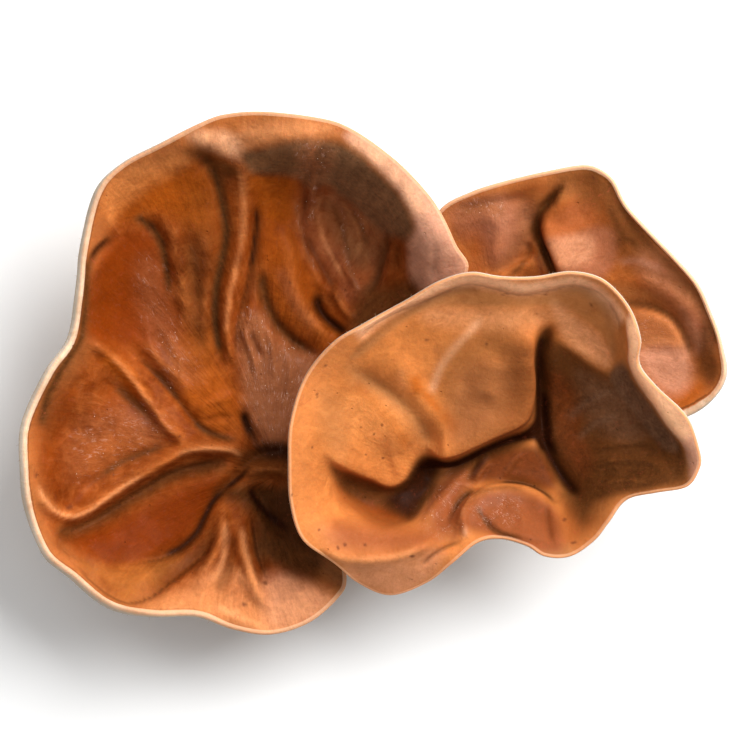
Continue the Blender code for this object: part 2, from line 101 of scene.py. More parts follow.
# How folds and tints follow their routes and fade over their ends, and how a fold leans and is lined.
ROUTE_STEPS = 5
FOLD_TAPER = 0.3
FOLD_END = 6.0
FOLD_REACH = 3.2
FOLD_LEAN = 0.26
PUSH_UP = 3.0
FOLD_BLUNT = 0.25
CREST_SHARP = 1.75
CREASE_SHARP = 1.4
LINE_SHARE = 0.42
LINE_FULL = 2.0
LINE_WIDTHS = (0.8, 1.6)
LAYER_SHARP = 2.2
TINT_END = 2.5
NEAR_MIX = 0.24
NEAR_LEAST = 0.04
TINY = 1e-9

# The rim's round edge, as sides from the upper skin to the lower, and the groove inside it.
RIM_SIDES = (0.92, 0.7, 0.38, 0.0, -0.38, -0.7, -0.92)
RIM_SQUARE = 2.6
GROOVE = (0.18, 1.25, 0.3)
BAND_PULL = 2
RIM_BANDS = (0.3, 0.85)
FAR_EDGE = 9.0

# Wrinkles and lumps too small to be drawn one by one: height, count round the ear and count from
# heart to rim, or height and size.
WRINKLES = ((0.30, 7.0, 2.0), (0.26, 17.0, 3.0), (0.14, 36.0, 5.0))
LUMPS = ((0.45, 12.0), (0.22, 4.0), (0.08, 1.6))
LAYER_STEP = 9
WRINKLES_FROM = 0.15
RELIEF_FADE = 0.05

# The marks of each ear, and the ear that they make:
# rim: x, y, height, all round.
# hollow: x, y, height of the sheet inside the rim.
# folds: height, width on the left, width on the right, route.
# patches: colour layer, strength, width of the edge, outline.
# tints: colour layer, strength, width on the left, width on the right, route.
# specks: x, y, half length, half width, turn.
# band: x, y, width of the pale rim, thickness of the flesh there.
# heart: where the folds run to. joint: place, direction and radius of the foot on the holdfast.
# finish: points round, rings on the hollow side, rings on the outer side.
# pale, lined, edged: how pale the flesh is, how lined along its growth, how pale at a narrow rim.
LEFT_RIM = [
    (19, 20.8, 39), (16.6, 26, 41), (13, 33.6, 43), (7.6, 40, 44.5), (2, 45, 45), (-5, 49.6, 45),
    (-11, 51.6, 44.5), (-22, 52.8, 43), (-29.4, 52.4, 42), (-34.4, 50.8, 41), (-43, 46.4, 39.5),
    (-50.6, 42.4, 38), (-55.8, 37, 37), (-58.6, 27, 35), (-60, 15, 33), (-61.6, 7, 32), (-66, 0.6, 33),
    (-70.6, -9.8, 34.5), (-70.8, -19, 35), (-70, -26.8, 34), (-66.2, -36, 32), (-60.4, -41, 30),
    (-53.6, -46.2, 28.5), (-45, -48.4, 27), (-35.8, -48.6, 25), (-28.4, -51.2, 22.5), (-20.8, -52.4, 21),
    (-13, -50, 20), (-7.2, -45, 19), (-5.4, -41, 18.5), (-7, -33, 17), (-9.5, -26, 15), (-9.5, -18, 16),
    (-5.5, -10.5, 19), (-0.5, -3, 23), (6, 5, 28), (13.5, 13, 33),
]
LEFT_HOLLOW = [
    (-19.5, -20.5, 12.5), (-27, -20, 13.5), (-48, -13, 16.5), (-60, -13, 20), (-65.5, -12, 24),
    (-64, -29, 21), (-52, -34, 17), (-40, -36, 16), (-55, -41, 21), (-43, -44.5, 23.5), (-28, -36, 17.5),
    (-24, -44, 20.5), (-15, -44, 19.5), (-14, -34, 15), (-46, 20, 21), (-55, 14, 23), (-51, 34, 29),
    (-42, 40, 32), (-38, 10, 18), (-35, 30, 27), (-28, 25, 23), (-28, 10, 18.5), (-27, -6, 15),
    (-29, 41, 34), (-28, 47, 40), (-18, 37, 26), (-10, 35.5, 24), (-3, 32, 23.5), (2, 26, 24), (3, 18, 24),
    (-15.4, 45.2, 41.5), (-6, 43.6, 42.8), (1.4, 38.4, 43.4), (6.8, 32, 43), (11, 25, 40.5), (-13, 23, 18),
    (-3, 20, 19), (-12, 8, 16), (-18, -5, 14),
]
LEFT_FOLDS = [
    (-1.4, 0.8, 1.6, [(-49, 31.8), (-46.4, 30.8), (-44.2, 29), (-42.8, 26.8), (-42, 23.4), (-41.6, 19.8),
        (-41.4, 15.8)]),
    (-0.9, 0.8, 0.8, [(-57.8, 20), (-56.8, 22.6), (-55.4, 24.6), (-53.6, 26.2), (-51.4, 28.8)]),
    (1.1, 1.6, 2, [(-43.4, 32), (-40.6, 27.4), (-39, 21.4), (-38, 15), (-37.2, 9)]),
    (-1.1, 1.6, 1.8, [(-37.8, 30), (-36.6, 24), (-36.2, 17), (-36.4, 10)]),
    (0.6, 1, 1, [(-33.8, 21), (-34, 14), (-34.6, 6)]),
    (-1.9, 1.3, 1.5, [(-37, 44.6), (-34.4, 43.2), (-32.6, 41), (-31.4, 37.6), (-30.4, 33), (-30, 28),
        (-30.8, 22.6), (-31.8, 18), (-32, 13), (-31.6, 8), (-30.8, 4), (-29.6, 0.2)]),
    (1.5, 1.5, 1.7, [(-27, 45.8), (-26.4, 40), (-26.4, 34), (-26.8, 28), (-27.8, 22.6), (-29, 18),
        (-29.8, 13), (-30.2, 8.6), (-29.4, 4.6), (-28.4, 1)]),
    (-1.7, 1.4, 0.8, [(-23.6, 35.8), (-23.8, 30), (-24.4, 24), (-25.2, 19), (-26.2, 15), (-27.2, 10.6),
        (-27.8, 6), (-27.6, 1.8)]),
    (2.3, 2.2, 2.6, [(-18.8, 32), (-17.8, 26), (-17, 20.6), (-15.8, 16.2), (-13.8, 12.6), (-11, 9.4),
        (-7.6, 6.4)]),
    (-2.2, 1.4, 1.6, [(-22.6, 23.4), (-22.6, 18.6), (-21.8, 14.2), (-19.8, 10.2), (-16.6, 7), (-13, 4.6),
        (-9.8, 2.6)]),
    (0.8, 0.6, 0.7, [(-16.6, 36.6), (-15.2, 29.4), (-14, 23.8), (-11.8, 20.2), (-10, 16.2)]),
    (-1.3, 1, 1, [(-14.2, 30.6), (-13.2, 26.4), (-11, 22.2), (-9, 18.6), (-8.4, 15.8)]),
    (-2.4, 1.1, 1.2, [(-10.4, 18.2), (-11.6, 14.6), (-10.4, 11.6), (-7.8, 9.4), (-5, 8.2)]),
    (1.3, 1, 1, [(-8.2, 18.6), (-7.4, 15.4), (-5.6, 12.4), (-3.4, 10.2)]),
    (0.7, 0.5, 0.5, [(-6.6, 24.2), (-5.8, 21), (-4.4, 19), (-3.4, 15.8)]),
    (-1.3, 0.6, 1.3, [(-13.8, 43), (-13.8, 37), (-14.2, 32.6), (-13.6, 28.6)]),
    (0.7, 0.6, 0.6, [(-12.2, 38.6), (-12.4, 34.2), (-12.4, 29.4)]),
    (0.4, 0.5, 0.5, [(-8.6, 35.8), (-7, 30.6), (-5.8, 24.6)]),
    (0.4, 0.5, 0.5, [(-5, 33.4), (-3.4, 29.8), (-2.6, 25.4)]),
    (-1.4, 0.9, 0.9, [(2.2, 29.8), (2.4, 26.2), (1.2, 22.6), (0.2, 19), (-2.2, 15)]),
    (-0.8, 0.7, 0.7, [(4.8, 27.8), (4.4, 23.8), (4.2, 19.4)]),
    (0.8, 0.8, 0.8, [(3.4, 28.6), (3.2, 23.8), (2.2, 18.2)]),
    (-0.5, 0.8, 0.8, [(12.2, 27), (11.8, 22.6), (11, 18.2)]),
    (1.1, 2, 2, [(-36.6, 47.4), (-32.2, 46.2), (-27.8, 44.6)]),
    (0.9, 1.8, 1.8, [(-25.8, 46.2), (-21.4, 47.4), (-16.6, 49)]),
    (2.1, 1.5, 1.1, [(-59, 8.2), (-55.4, 5.6), (-51.8, 2.6), (-48.6, -1), (-45.6, -5.2), (-42.8, -9.2),
        (-39.8, -12), (-36.6, -13.6)]),
    (-1.5, 1.4, 1.8, [(-55.8, 0.6), (-51.8, -2.4), (-48.6, -5.2), (-45.2, -8.2), (-42.4, -11.4)]),
    (-1.3, 0.9, 0.8, [(-50.6, 6.6), (-45.4, 1.6), (-41.4, -2.6), (-39.2, -5.4), (-36.8, -8.6),
        (-33.6, -11.4), (-27.8, -13.2)]),
    (0.8, 1.2, 1.2, [(-49.4, 9), (-44.6, 4.6), (-39.8, -0.2), (-35.8, -4.2)]),
    (2.9, 1.7, 1.3, [(-68.4, -20.6), (-67.2, -24), (-65.6, -26.4), (-63.4, -27.8), (-61, -28.2),
        (-58.2, -27.4), (-55, -25), (-51, -22.2), (-46.2, -19.4), (-42, -17), (-38.2, -15), (-34, -14.4),
        (-29, -15), (-25, -17.6)]),
    (-2.2, 1.1, 2.3, [(-65.4, -31.4), (-60.6, -31), (-56.2, -29.2), (-51.2, -26), (-46.2, -23), (-41, -20),
        (-35, -18.2), (-27.8, -17)]),
    (-1, 1.2, 0.8, [(-60.6, -24.4), (-56.2, -21.2), (-52.2, -18.2), (-47.2, -16), (-42, -14.2),
        (-37, -13)]),
    (-0.8, 1.2, 0.8, [(-65, -32.6), (-62.6, -35), (-59.4, -37), (-56, -38.2)]),
    (-1.9, 1.6, 1, [(-51, -38.2), (-45, -37), (-40, -35.2), (-36.2, -32.2), (-34.4, -28.8), (-32.6, -25.4),
        (-30.2, -22.6), (-27, -19.8), (-24.2, -17)]),
    (0.9, 1.6, 1.6, [(-57.8, -39.4), (-52.6, -41), (-47, -40.8), (-42.6, -38.6)]),
    (-1.6, 1.7, 0.7, [(-61.8, -36.2), (-57.4, -40.4), (-53.4, -43.8), (-49, -45.4), (-45, -44.4),
        (-41.4, -41.4), (-37.4, -38.2), (-34, -35), (-32.2, -31.8)]),
    (2, 1.1, 1.5, [(-30.6, -25), (-30.6, -29.4), (-31.6, -34), (-33.8, -38.2), (-37.4, -42.2)]),
    (-0.8, 1, 1, [(-29.2, -29), (-29.2, -34), (-30.6, -38.2), (-33, -43)]),
    (2, 1.2, 1.3, [(-27.4, -29.4), (-26.8, -34.6), (-25.4, -39.4), (-23.4, -44.2), (-20.2, -48.2)]),
    (0.7, 0.8, 0.8, [(-27.8, -37.4), (-28.2, -41), (-29.8, -44.6)]),
    (-2, 1.6, 0.9, [(-25, -26.6), (-24.2, -30.6), (-23.6, -34.6), (-22.4, -38.6), (-20.6, -43)]),
    (-2.6, 2.6, 1.8, [(-24.6, -21), (-22.6, -25), (-20.6, -29), (-16.6, -34)]),
    (-2.2, 1, 1.2, [(-26.8, -6.6), (-26, -9.4), (-24.8, -12.2), (-23, -15)]),
    (-2.2, 2, 2, [(-27.8, -19), (-23.4, -16.2), (-19.8, -15.4), (-15.8, -16.6)]),
    (1.6, 1, 1.2, [(-27.8, -20.6), (-24.2, -19.2), (-19.8, -19), (-15.8, -20.6)]),
    (0.9, 0.5, 0.6, [(-26.8, 10.6), (-25.4, 6.6), (-24.2, 2.6), (-23.6, -2.2)]),
    (-0.9, 0.6, 0.6, [(-25.6, 9), (-24.2, 6.2), (-22.6, 2.6)]),
    (0.6, 0.6, 0.6, [(-22.6, 11.8), (-21, 7.4), (-20.2, 2.6), (-19.8, -3)]),
    (0.5, 0.8, 0.8, [(-17.8, 5.8), (-17, 0.6), (-17.8, -5)]),
    (0.6, 0.9, 0.9, [(-37, -7.8), (-32.6, -5.4), (-27.4, -4.2)]),
    (-0.5, 0.6, 0.6, [(-35.4, -9.8), (-31.8, -8.6), (-27.4, -8.2)]),
    (0.5, 0.8, 0.8, [(-46.4, 11.4), (-45, 6), (-43, 0.6)]),
    (0.5, 0.8, 0.8, [(-42, 10), (-40.2, 4.6), (-37.4, -1)]),
    (-0.6, 0.8, 0.8, [(-34, -47.4), (-29, -49.4), (-22.6, -51)]),
]
LEFT_PATCHES = [
    ("rust", 0.8, 2.4, [(-57.8, 20), (-54.2, 25), (-49.4, 28.6), (-45, 27.8), (-42.2, 22.6), (-41.4, 15),
        (-39.4, 9), (-45, 6), (-53, 6), (-58.2, 7.8), (-59, 14)]),
    ("umber_and_shade", 0.32, 3.5, [(-38.2, 35), (-32.2, 37), (-29.8, 29), (-32.2, 17), (-32.2, 3), (-37, 5),
        (-37.8, 19)]),
    ("umber_and_shade", 0.42, 2.4, [(-39, 25), (-35.4, 23), (-33.8, 9), (-35.4, 6.2), (-38.2, 12.6)]),
    ("frost", 0.32, 3, [(-47.4, 22.6), (-43.4, 22.6), (-41, 13), (-37.8, 5), (-35, -1), (-41, -1),
        (-45, 7), (-47.4, 15)]),
    ("orange", 0.32, 2.4, [(-22.6, 30), (-18, 32), (-15.4, 25), (-11.4, 19), (-11, 13), (-6, 9), (-9, 4.6),
        (-15, 8), (-20.6, 13), (-22.6, 21)]),
    ("rust", 0.6, 2, [(-22.6, 30.6), (-18.2, 31.8), (-15.8, 25), (-13, 19.8), (-12.6, 15), (-16.6, 15.8),
        (-19.8, 21), (-22.2, 25)]),
    ("olive_shade", 0.32, 2, [(-10.6, 35.8), (-6.2, 35.8), (-1.8, 32.2), (1, 27.4), (-0.2, 22.6), (-3.8, 21.8),
        (-7, 26.2), (-9.8, 30.6)]),
    ("rose", 0.2, 2.4, [(-15.4, 36.6), (-7, 37), (-0.6, 30.6), (1.8, 27), (0.6, 17), (-5, 15), (-9, 19),
        (-12.6, 22.6), (-15, 29)]),
    ("orange", 0.45, 1.2, [(-25, 39.8), (-17.8, 39.8), (-15.4, 37.8), (-15.4, 32.2), (-21.8, 31.4),
        (-23.8, 34.2)]),
    ("arch_shadow", 0.96, 1.3, [(-26.6, 44.4), (-22.6, 45.2), (-18, 46.2), (-14, 47), (-10, 46.8), (-6, 45.6),
        (-3, 43.8), (0, 41), (3, 38), (5.4, 35), (7, 32), (7.8, 29.2), (6.8, 27.2), (4.6, 27.4), (2, 27.8),
        (-0.6, 30.2), (-3.4, 33.2), (-7, 36.2), (-10, 38.2), (-12.6, 37.8), (-15, 39.6), (-18, 40.4),
        (-22.6, 40.6), (-25.4, 41.6)]),
    ("umber_and_shade", 0.4, 1.4, [(-26.2, 44), (-22.6, 44.8), (-18.2, 45), (-15.4, 43), (-16.6, 40.6),
        (-22.2, 40.6), (-25.4, 41.8)]),
    ("frost", 0.55, 1.6, [(-15.4, 45.8), (-11.4, 46.6), (-8.2, 44.6), (-9.8, 40.2), (-12.6, 38.2),
        (-14.6, 39.8)]),
    ("umber_and_shade", 0.7, 1.6, [(-38.2, 44.6), (-35, 45.6), (-31.4, 43.8), (-28.2, 42.4), (-27.4, 40.4),
        (-30, 39), (-32.6, 40.8), (-35.8, 42.8)]),
    ("rosy", 0.88, 1.2, [(-6.2, 47.8), (-1.8, 43.8), (2.2, 39.6), (5.8, 35), (7.8, 30.2), (6.6, 26),
        (8.6, 17), (21, 19), (16.6, 28), (12.2, 35), (6, 42.4), (-0.6, 48.2)]),
    ("umber_and_shade", 0.8, 2.4, [(-4.6, 12.6), (-1.8, 17), (3.4, 18.2), (8.6, 17.8), (7, 9), (-5, 5)]),
    ("umber_and_shade", 0.25, 3, [(3.4, 27.4), (7.4, 27), (10, 22.6), (9, 17), (3, 17)]),
    ("rose", 0.42, 2, [(-24, 3.8), (-11, 2.6), (-12.6, -5), (-18.6, -13), (-22.6, -11), (-25, -3)]),
    ("frost", 0.66, 2, [(-27, 10.6), (-22.6, 12.6), (-19.8, 8.2), (-15, 5), (-9, 1.8), (-11, -5),
        (-17, -12.2), (-18.6, -15), (-22.6, -13.8), (-25.4, -9), (-26.6, -1)]),
    ("umber_and_shade", 0.85, 2.2, [(-23.8, -22.2), (-19, -22.2), (-11, -22.6), (-11, -40), (-19, -38.6),
        (-23.4, -34.6), (-24.2, -29), (-27.4, -25.8), (-31.8, -23.8), (-27.8, -22.2)]),
    ("umber_and_shade", 0.6, 1.8, [(-27.8, -16.6), (-23.8, -14.6), (-11, -15), (-11, -22.2), (-19, -21),
        (-23.8, -21.4), (-27, -19.8)]),
    ("black_shade", 0.5, 2.2, [(-22.2, -24.2), (-17, -23.4), (-11, -23.4), (-11, -34.6), (-17.4, -33.6),
        (-21, -30.6)]),
    ("black_shade", 0.8, 1.3, [(-24.2, -14.2), (-21.4, -13.8), (-11, -14.2), (-11, -17), (-17, -17.4),
        (-21.8, -17)]),
    ("shade", 0.75, 2.2, [(-23.4, -35.4), (-17, -37), (-9, -41.8), (-6, -45), (-3, -39), (-9, -33),
        (-21, -32)]),
    ("cream", 0.38, 2.6, [(-42, -45), (-35, -40), (-30.6, -38.2), (-26, -40), (-22.6, -42), (-17, -41),
        (-9, -45), (-11, -50), (-21, -54), (-35, -50), (-45, -47.4)]),
    ("rosy", 0.45, 2.6, [(-21.4, -40.6), (-16.6, -39.8), (-9, -45), (-11.4, -49.4), (-20, -51.4),
        (-22.6, -46.2)]),
    ("rust", 0.92, 2.4, [(-61, -32), (-51, -29), (-41, -24), (-32, -20.6), (-34, -27.4), (-38, -33),
        (-45, -36.2), (-55, -37)]),
    ("pool", 0.75, 1.8, [(-59, -37.8), (-52.6, -38.8), (-45, -37.6), (-39.4, -36.2), (-43, -41),
        (-49, -45), (-54.2, -42.6)]),
    ("umber_and_shade", 0.45, 2.2, [(-44.6, -38.2), (-39, -35.8), (-35, -33), (-32.6, -29), (-32.2, -33),
        (-35.8, -37.4), (-41, -41.8), (-44.6, -43)]),
    ("gold", 0.28, 2, [(-54.2, 35.8), (-51, 39.8), (-45, 43), (-37.8, 43.8), (-39.8, 40.6), (-45, 37.8),
        (-50.2, 33.8), (-53.4, 30.6)]),
    ("orange", 0.45, 3, [(-55, 32), (-52.6, 37), (-45, 40.6), (-37, 41.8), (-33.4, 38.6), (-32.6, 32),
        (-36, 29.4), (-43, 32.2), (-51, 30.6)]),
    ("orange", 0.4, 2.4, [(-45, 39), (-37, 39.4), (-33.8, 35.8), (-35, 30.2), (-39.8, 31.8), (-45, 34.2)]),
    ("peach_highlight", 0.42, 1.4, [(-37.4, 48.2), (-32, 49), (-27.4, 47.4), (-26.6, 43.4), (-30.6, 44.6),
        (-35, 45.8)]),
    ("peach_highlight", 0.45, 1.4, [(-4.2, 48.2), (1, 45), (5.8, 39.8), (9.8, 33.8), (7.8, 32.6), (4.6, 37.4),
        (-0.2, 42.2), (-4.6, 45.8)]),
    ("cream", 0.6, 2, [(-26, 49.4), (-17, 50.6), (-9, 50.2), (-9, 48.2), (-17, 47.4), (-22.6, 45.8),
        (-26, 45.4)]),
    ("orange", 0.45, 3, [(-39, 7), (-32.2, 9), (-30.2, 0.6), (-27.4, -5), (-29, -12.2), (-35, -10),
        (-39.4, -3)]),
    ("orange", 0.4, 2.4, [(-57.8, -15), (-53, -13), (-46.6, -13.8), (-49, -18.6), (-55.8, -20.2)]),
    ("frost", 0.3, 3.2, [(-55, -7.4), (-45, -6), (-41.4, -11.4), (-51, -19), (-59, -21), (-61.8, -15)]),
    ("rust", 0.4, 2.6, [(-68.2, -13), (-67, -7), (-63, -4), (-62.6, -15), (-63.4, -23), (-66.6, -21)]),
    ("umber_and_shade", 0.4, 2.6, [(-67.8, -5), (-64.6, 1), (-59, 6), (-57, 3), (-62.6, -3.4), (-65.4, -13)]),
]
LEFT_TINTS = [
    ("umber_and_shade", 0.85, 0.9, 0.9, [(-57.4, 24), (-57.8, 19.4), (-58, 14), (-58.4, 10), (-59, 7), (-61.8, 2.6),
        (-64.6, -2.2), (-66.2, -6.6), (-67, -11)]),
    ("black_shade", 0.8, 0.8, 0.8, [(-57.8, 21.8), (-56, 24.8), (-54.4, 26.4), (-52.6, 28)]),
    ("umber_and_shade", 0.5, 1.8, 0.7, [(-52.6, -2.4), (-49, -5.2), (-45.4, -8.2)]),
    ("umber_and_shade", 0.6, 1.4, 2.2, [(-64.6, -31.4), (-60.2, -30.8), (-56, -28.8), (-51, -25.6), (-46, -22.6),
        (-41, -19.8), (-34, -18.2), (-28.6, -17)]),
    ("umber_and_shade", 0.6, 0.7, 0.9, [(-55.4, -20.6), (-51.8, -18), (-47.2, -16), (-41.8, -14.2)]),
    ("umber_and_shade", 0.6, 0.8, 0.8, [(-45, 1.8), (-41.4, -2.6), (-39, -5.4)]),
    ("umber_and_shade", 0.75, 0.8, 0.8, [(-37, -9), (-33.4, -11.6), (-27, -13.4)]),
    ("black_shade", 0.9, 0.7, 0.7, [(-43, -36), (-39.4, -34.6), (-36.2, -31.8), (-34.4, -28.6), (-32.6, -25.4),
        (-30.2, -22.8)]),
    ("umber_and_shade", 0.9, 0.7, 0.9, [(-48.6, 31.8), (-47, 31.2), (-45, 29.6), (-43.2, 27), (-42.2, 23.8),
        (-41.6, 19.8), (-41.4, 15)]),
    ("black_shade", 0.8, 0.7, 0.6, [(-23.8, 34.6), (-23.8, 30), (-24.4, 24.6), (-25, 21)]),
    ("umber_and_shade", 0.95, 0.9, 0.8, [(-33.4, 41.8), (-32, 39.8), (-31, 37), (-30.2, 32.6), (-29.8, 28),
        (-30.8, 22.6), (-31.8, 18), (-32.2, 13), (-31.8, 8), (-31, 4)]),
    ("umber_and_shade", 0.7, 1.1, 1.1, [(-22.6, 21), (-22.4, 17.4), (-21.4, 13.8), (-19.2, 9.8), (-15.8, 6.6),
        (-12.6, 4.4)]),
    ("black_shade", 0.85, 1.1, 1.2, [(-11, 16.6), (-11.6, 14.2), (-10.2, 11.8), (-7.4, 9.4), (-4.6, 8.2)]),
    ("black_shade", 0.95, 0.9, 0.9, [(-25.4, -21.8), (-24.4, -24.4), (-22.6, -26.8), (-20, -29),
        (-16.6, -31.8)]),
    ("black_shade", 0.85, 0.6, 0.6, [(-30.6, -23.4), (-28.6, -21.8), (-26.6, -20.2), (-25, -18.2)]),
    ("black_shade", 0.9, 0.9, 0.9, [(-26.6, -7.4), (-25.8, -9.8), (-24.6, -12.6)]),
    ("orange", 0.6, 1.6, 1.6, [(-55.8, 4.6), (-51.8, 1.8), (-48.8, -1.8), (-45.8, -5.8)]),
    ("cream", 0.75, 0.45, 0.5, [(-67.8, -21.8), (-66.8, -24.4), (-65.2, -26.6), (-63, -28), (-60.6, -28.4),
        (-57.8, -27.4), (-54.6, -25), (-50.6, -22.2), (-45.8, -19.4)]),
    ("cream", 0.45, 0.5, 0.6, [(-40.6, -16), (-37.4, -15), (-33.8, -14.6), (-29, -15), (-26.2, -16.6)]),
    ("cream", 0.3, 0.6, 0.5, [(-54.2, 4.6), (-50.6, 1.4), (-47.8, -2.2), (-45.4, -5.8)]),
    ("cream", 0.28, 0.6, 0.6, [(-26.8, 43), (-26.6, 35), (-27, 27), (-28.2, 20.6), (-29.4, 15), (-30, 8)]),
    ("umber_and_shade", 0.55, 1, 1.6, [(1.8, 28.6), (2, 25.4), (1, 21.8), (-0.2, 18.2), (-2.6, 15)]),
    ("frost", 0.7, 0.6, 0.6, [(-13, 48.2), (-12.2, 43), (-12.4, 37.8), (-12.6, 33.8), (-12.4, 29.8)]),
    ("frost", 0.6, 0.5, 0.5, [(-10, 36.2), (-7, 34), (-6.2, 29.4), (-5.8, 24), (-4.2, 19), (-3.4, 16.6)]),
    ("cream", 0.34, 0.5, 0.5, [(-11.4, 36.6), (-11.4, 32), (-10.2, 27), (-8, 22.6), (-5.8, 18.6)]),
    ("cream", 0.3, 0.5, 0.5, [(-7.4, 35.4), (-4.8, 31.8), (-3.2, 27.4), (-3.6, 22.6)]),
    ("cream", 0.24, 0.5, 0.5, [(-3.4, 33.4), (-0.4, 29.6), (1.6, 25.6), (1, 21.4)]),
    ("umber_and_shade", 0.45, 0.6, 0.6, [(-9, 35.4), (-7, 30.6), (-5.6, 25.8), (-4.6, 21.4)]),
    ("umber_and_shade", 0.4, 0.6, 0.6, [(-5.4, 33.8), (-2.6, 29.4), (-1.2, 25)]),
    ("frost", 0.5, 0.45, 0.45, [(-4.6, 33.8), (-2.8, 30.8), (-1.8, 27)]),
    ("frost", 0.5, 0.45, 0.45, [(-16.2, 36), (-15, 29.8), (-13.8, 24.6), (-11.4, 20.2)]),
    ("rose", 0.2, 1.4, 1.4, [(-19.4, 22.6), (-17.4, 17), (-15, 13), (-11.4, 9)]),
    ("cream", 0.6, 0.9, 0.9, [(-32.6, -45.8), (-27.4, -48.6), (-20.6, -51.2)]),
    ("cream", 0.6, 0.8, 0.8, [(-30.2, -29), (-30.2, -34), (-31, -38.2), (-33.4, -42.6)]),
    ("cream", 0.5, 0.7, 0.8, [(-26.8, -29.8), (-26.2, -34.6), (-25, -39.4), (-23, -44.2)]),
    ("umber_and_shade", 0.4, 1, 1.2, [(-28.6, -31), (-28.6, -35.4), (-29.8, -39.8), (-32.2, -44.2)]),
    ("cream", 0.45, 0.7, 0.7, [(-27.4, -39), (-25, -43), (-22.6, -46.2)]),
    ("umber_and_shade", 0.45, 0.8, 0.6, [(-31, -49.4), (-26.6, -50.8), (-21.4, -52.4)]),
]
LEFT_SPECKS = [
    (-68, -20, 0.9, 0.22, 115), (-61.6, -26.4, 0.8, 0.4, 20), (-48.6, -17, 0.35, 0.35, 0),
    (-52.6, -19.8, 0.3, 0.3, 0), (-39.2, -12.2, 0.3, 0.3, 0), (-41.4, -2.6, 0.4, 0.25, 0),
    (-22, -41.8, 0.5, 0.5, 0), (-26.2, -46, 0.45, 0.45, 0), (-17.4, 18.6, 0.3, 0.3, 0),
    (-24.8, 49.6, 0.3, 0.2, 0), (-43, 39, 0.4, 0.3, 0), (-39.8, -41.2, 0.4, 0.2, 10),
    (-45, -23, 0.3, 0.3, 0),
]
LEFT_BAND = [
    (-58, 27, 0.65, 1.5), (-61, 10, 0.7, 1.6), (-70, -15, 0.7, 1.6), (-60, -41, 0.6, 1.5),
    (-40, -48, 0.5, 1.4), (-20, -52, 0.3, 1.2), (-6, -42, 0.3, 1.1), (-44, 46, 0.4, 1),
    (-30, 52, 0.3, 0.8), (-12, 51, 0.3, 0.8), (3, 44, 0.3, 0.8), (17, 25, 0.3, 0.9), (-8, -20, 0.3, 1.2),
]
EAR_LEFT = {
    "node": "ear_left", "heart": (-19.0, -20.0), "finish": (460, 165, 40),
    "joint": ((-11.2, -13.5, 6.1), (-0.663, -0.362, 0.654), 6.4),
    "pale": 0.0, "lined": 1.0, "edged": 0.50,
    "rim": LEFT_RIM, "hollow": LEFT_HOLLOW, "folds": LEFT_FOLDS, "patches": LEFT_PATCHES,
    "tints": LEFT_TINTS, "specks": LEFT_SPECKS, "band": LEFT_BAND,
}

FRONT_RIM = [
    (65.2, -15.5, 39), (62.6, -8.4, 40), (56.4, -2, 41.5), (53.2, 2.4, 42.5), (53.4, 7, 43.5),
    (51.8, 12, 44.5), (48.8, 16.4, 45.5), (44.8, 19.6, 46), (39, 20.8, 46.5), (32, 19.8, 47),
    (25, 19.8, 47), (19, 20.6, 47), (12.6, 18.8, 46.5), (5.8, 14.8, 45), (-1.8, 10.6, 43.5),
    (-8.4, 6.8, 41.5), (-14.2, -0.2, 39), (-17.2, -9.4, 37.5), (-17.6, -18, 36), (-17.2, -26, 33.5),
    (-14.8, -33.2, 30.5), (-8.6, -38, 27), (-3.4, -42.4, 25), (3.2, -44.8, 24), (10.6, -42.2, 24.5),
    (15.8, -38, 26.5), (20.4, -34, 29), (25, -32.9, 30), (30, -34.2, 29.5), (34, -36.6, 28),
    (39.2, -36.6, 28), (44, -33.4, 29.5), (47, -29.6, 31), (50.4, -25.2, 33), (56, -23.8, 35),
    (62.4, -22.6, 37), (65, -19, 38),
]
FRONT_HOLLOW = [
    (11, -21.5, 17.5), (1, -25.5, 18.5), (-5, -22.5, 21.5), (22, -20, 19), (35, -14, 19.5), (39, -22, 20),
    (36.5, -4, 20.5), (-4, -8, 29.5), (5, -12, 27.5), (-11, -12, 33), (-11, -27, 28), (-9, -32, 29.5),
    (-2, -35, 30), (7, -33.6, 29), (1, -30.5, 25), (14, -29, 24.5), (22, -28, 25), (29, -29, 25),
    (37, -31, 25.5), (43, -28, 27), (14, -5, 27.5), (24, -5, 27), (30, 3, 29.5), (18, 8, 34.5), (6, 3, 34),
    (31, 13.5, 37.5), (18, 14.4, 38.5), (4, 9, 38.5), (42, 12, 34.5), (44, -4, 26.5), (48, -12, 27),
    (52, -6.5, 31.5), (56.4, -7, 38.5), (61, -13, 37.5), (56.6, -14, 31), (57, -20, 33.5), (47, -22, 28),
    (48, 2, 33), (50.6, 5, 39),
]
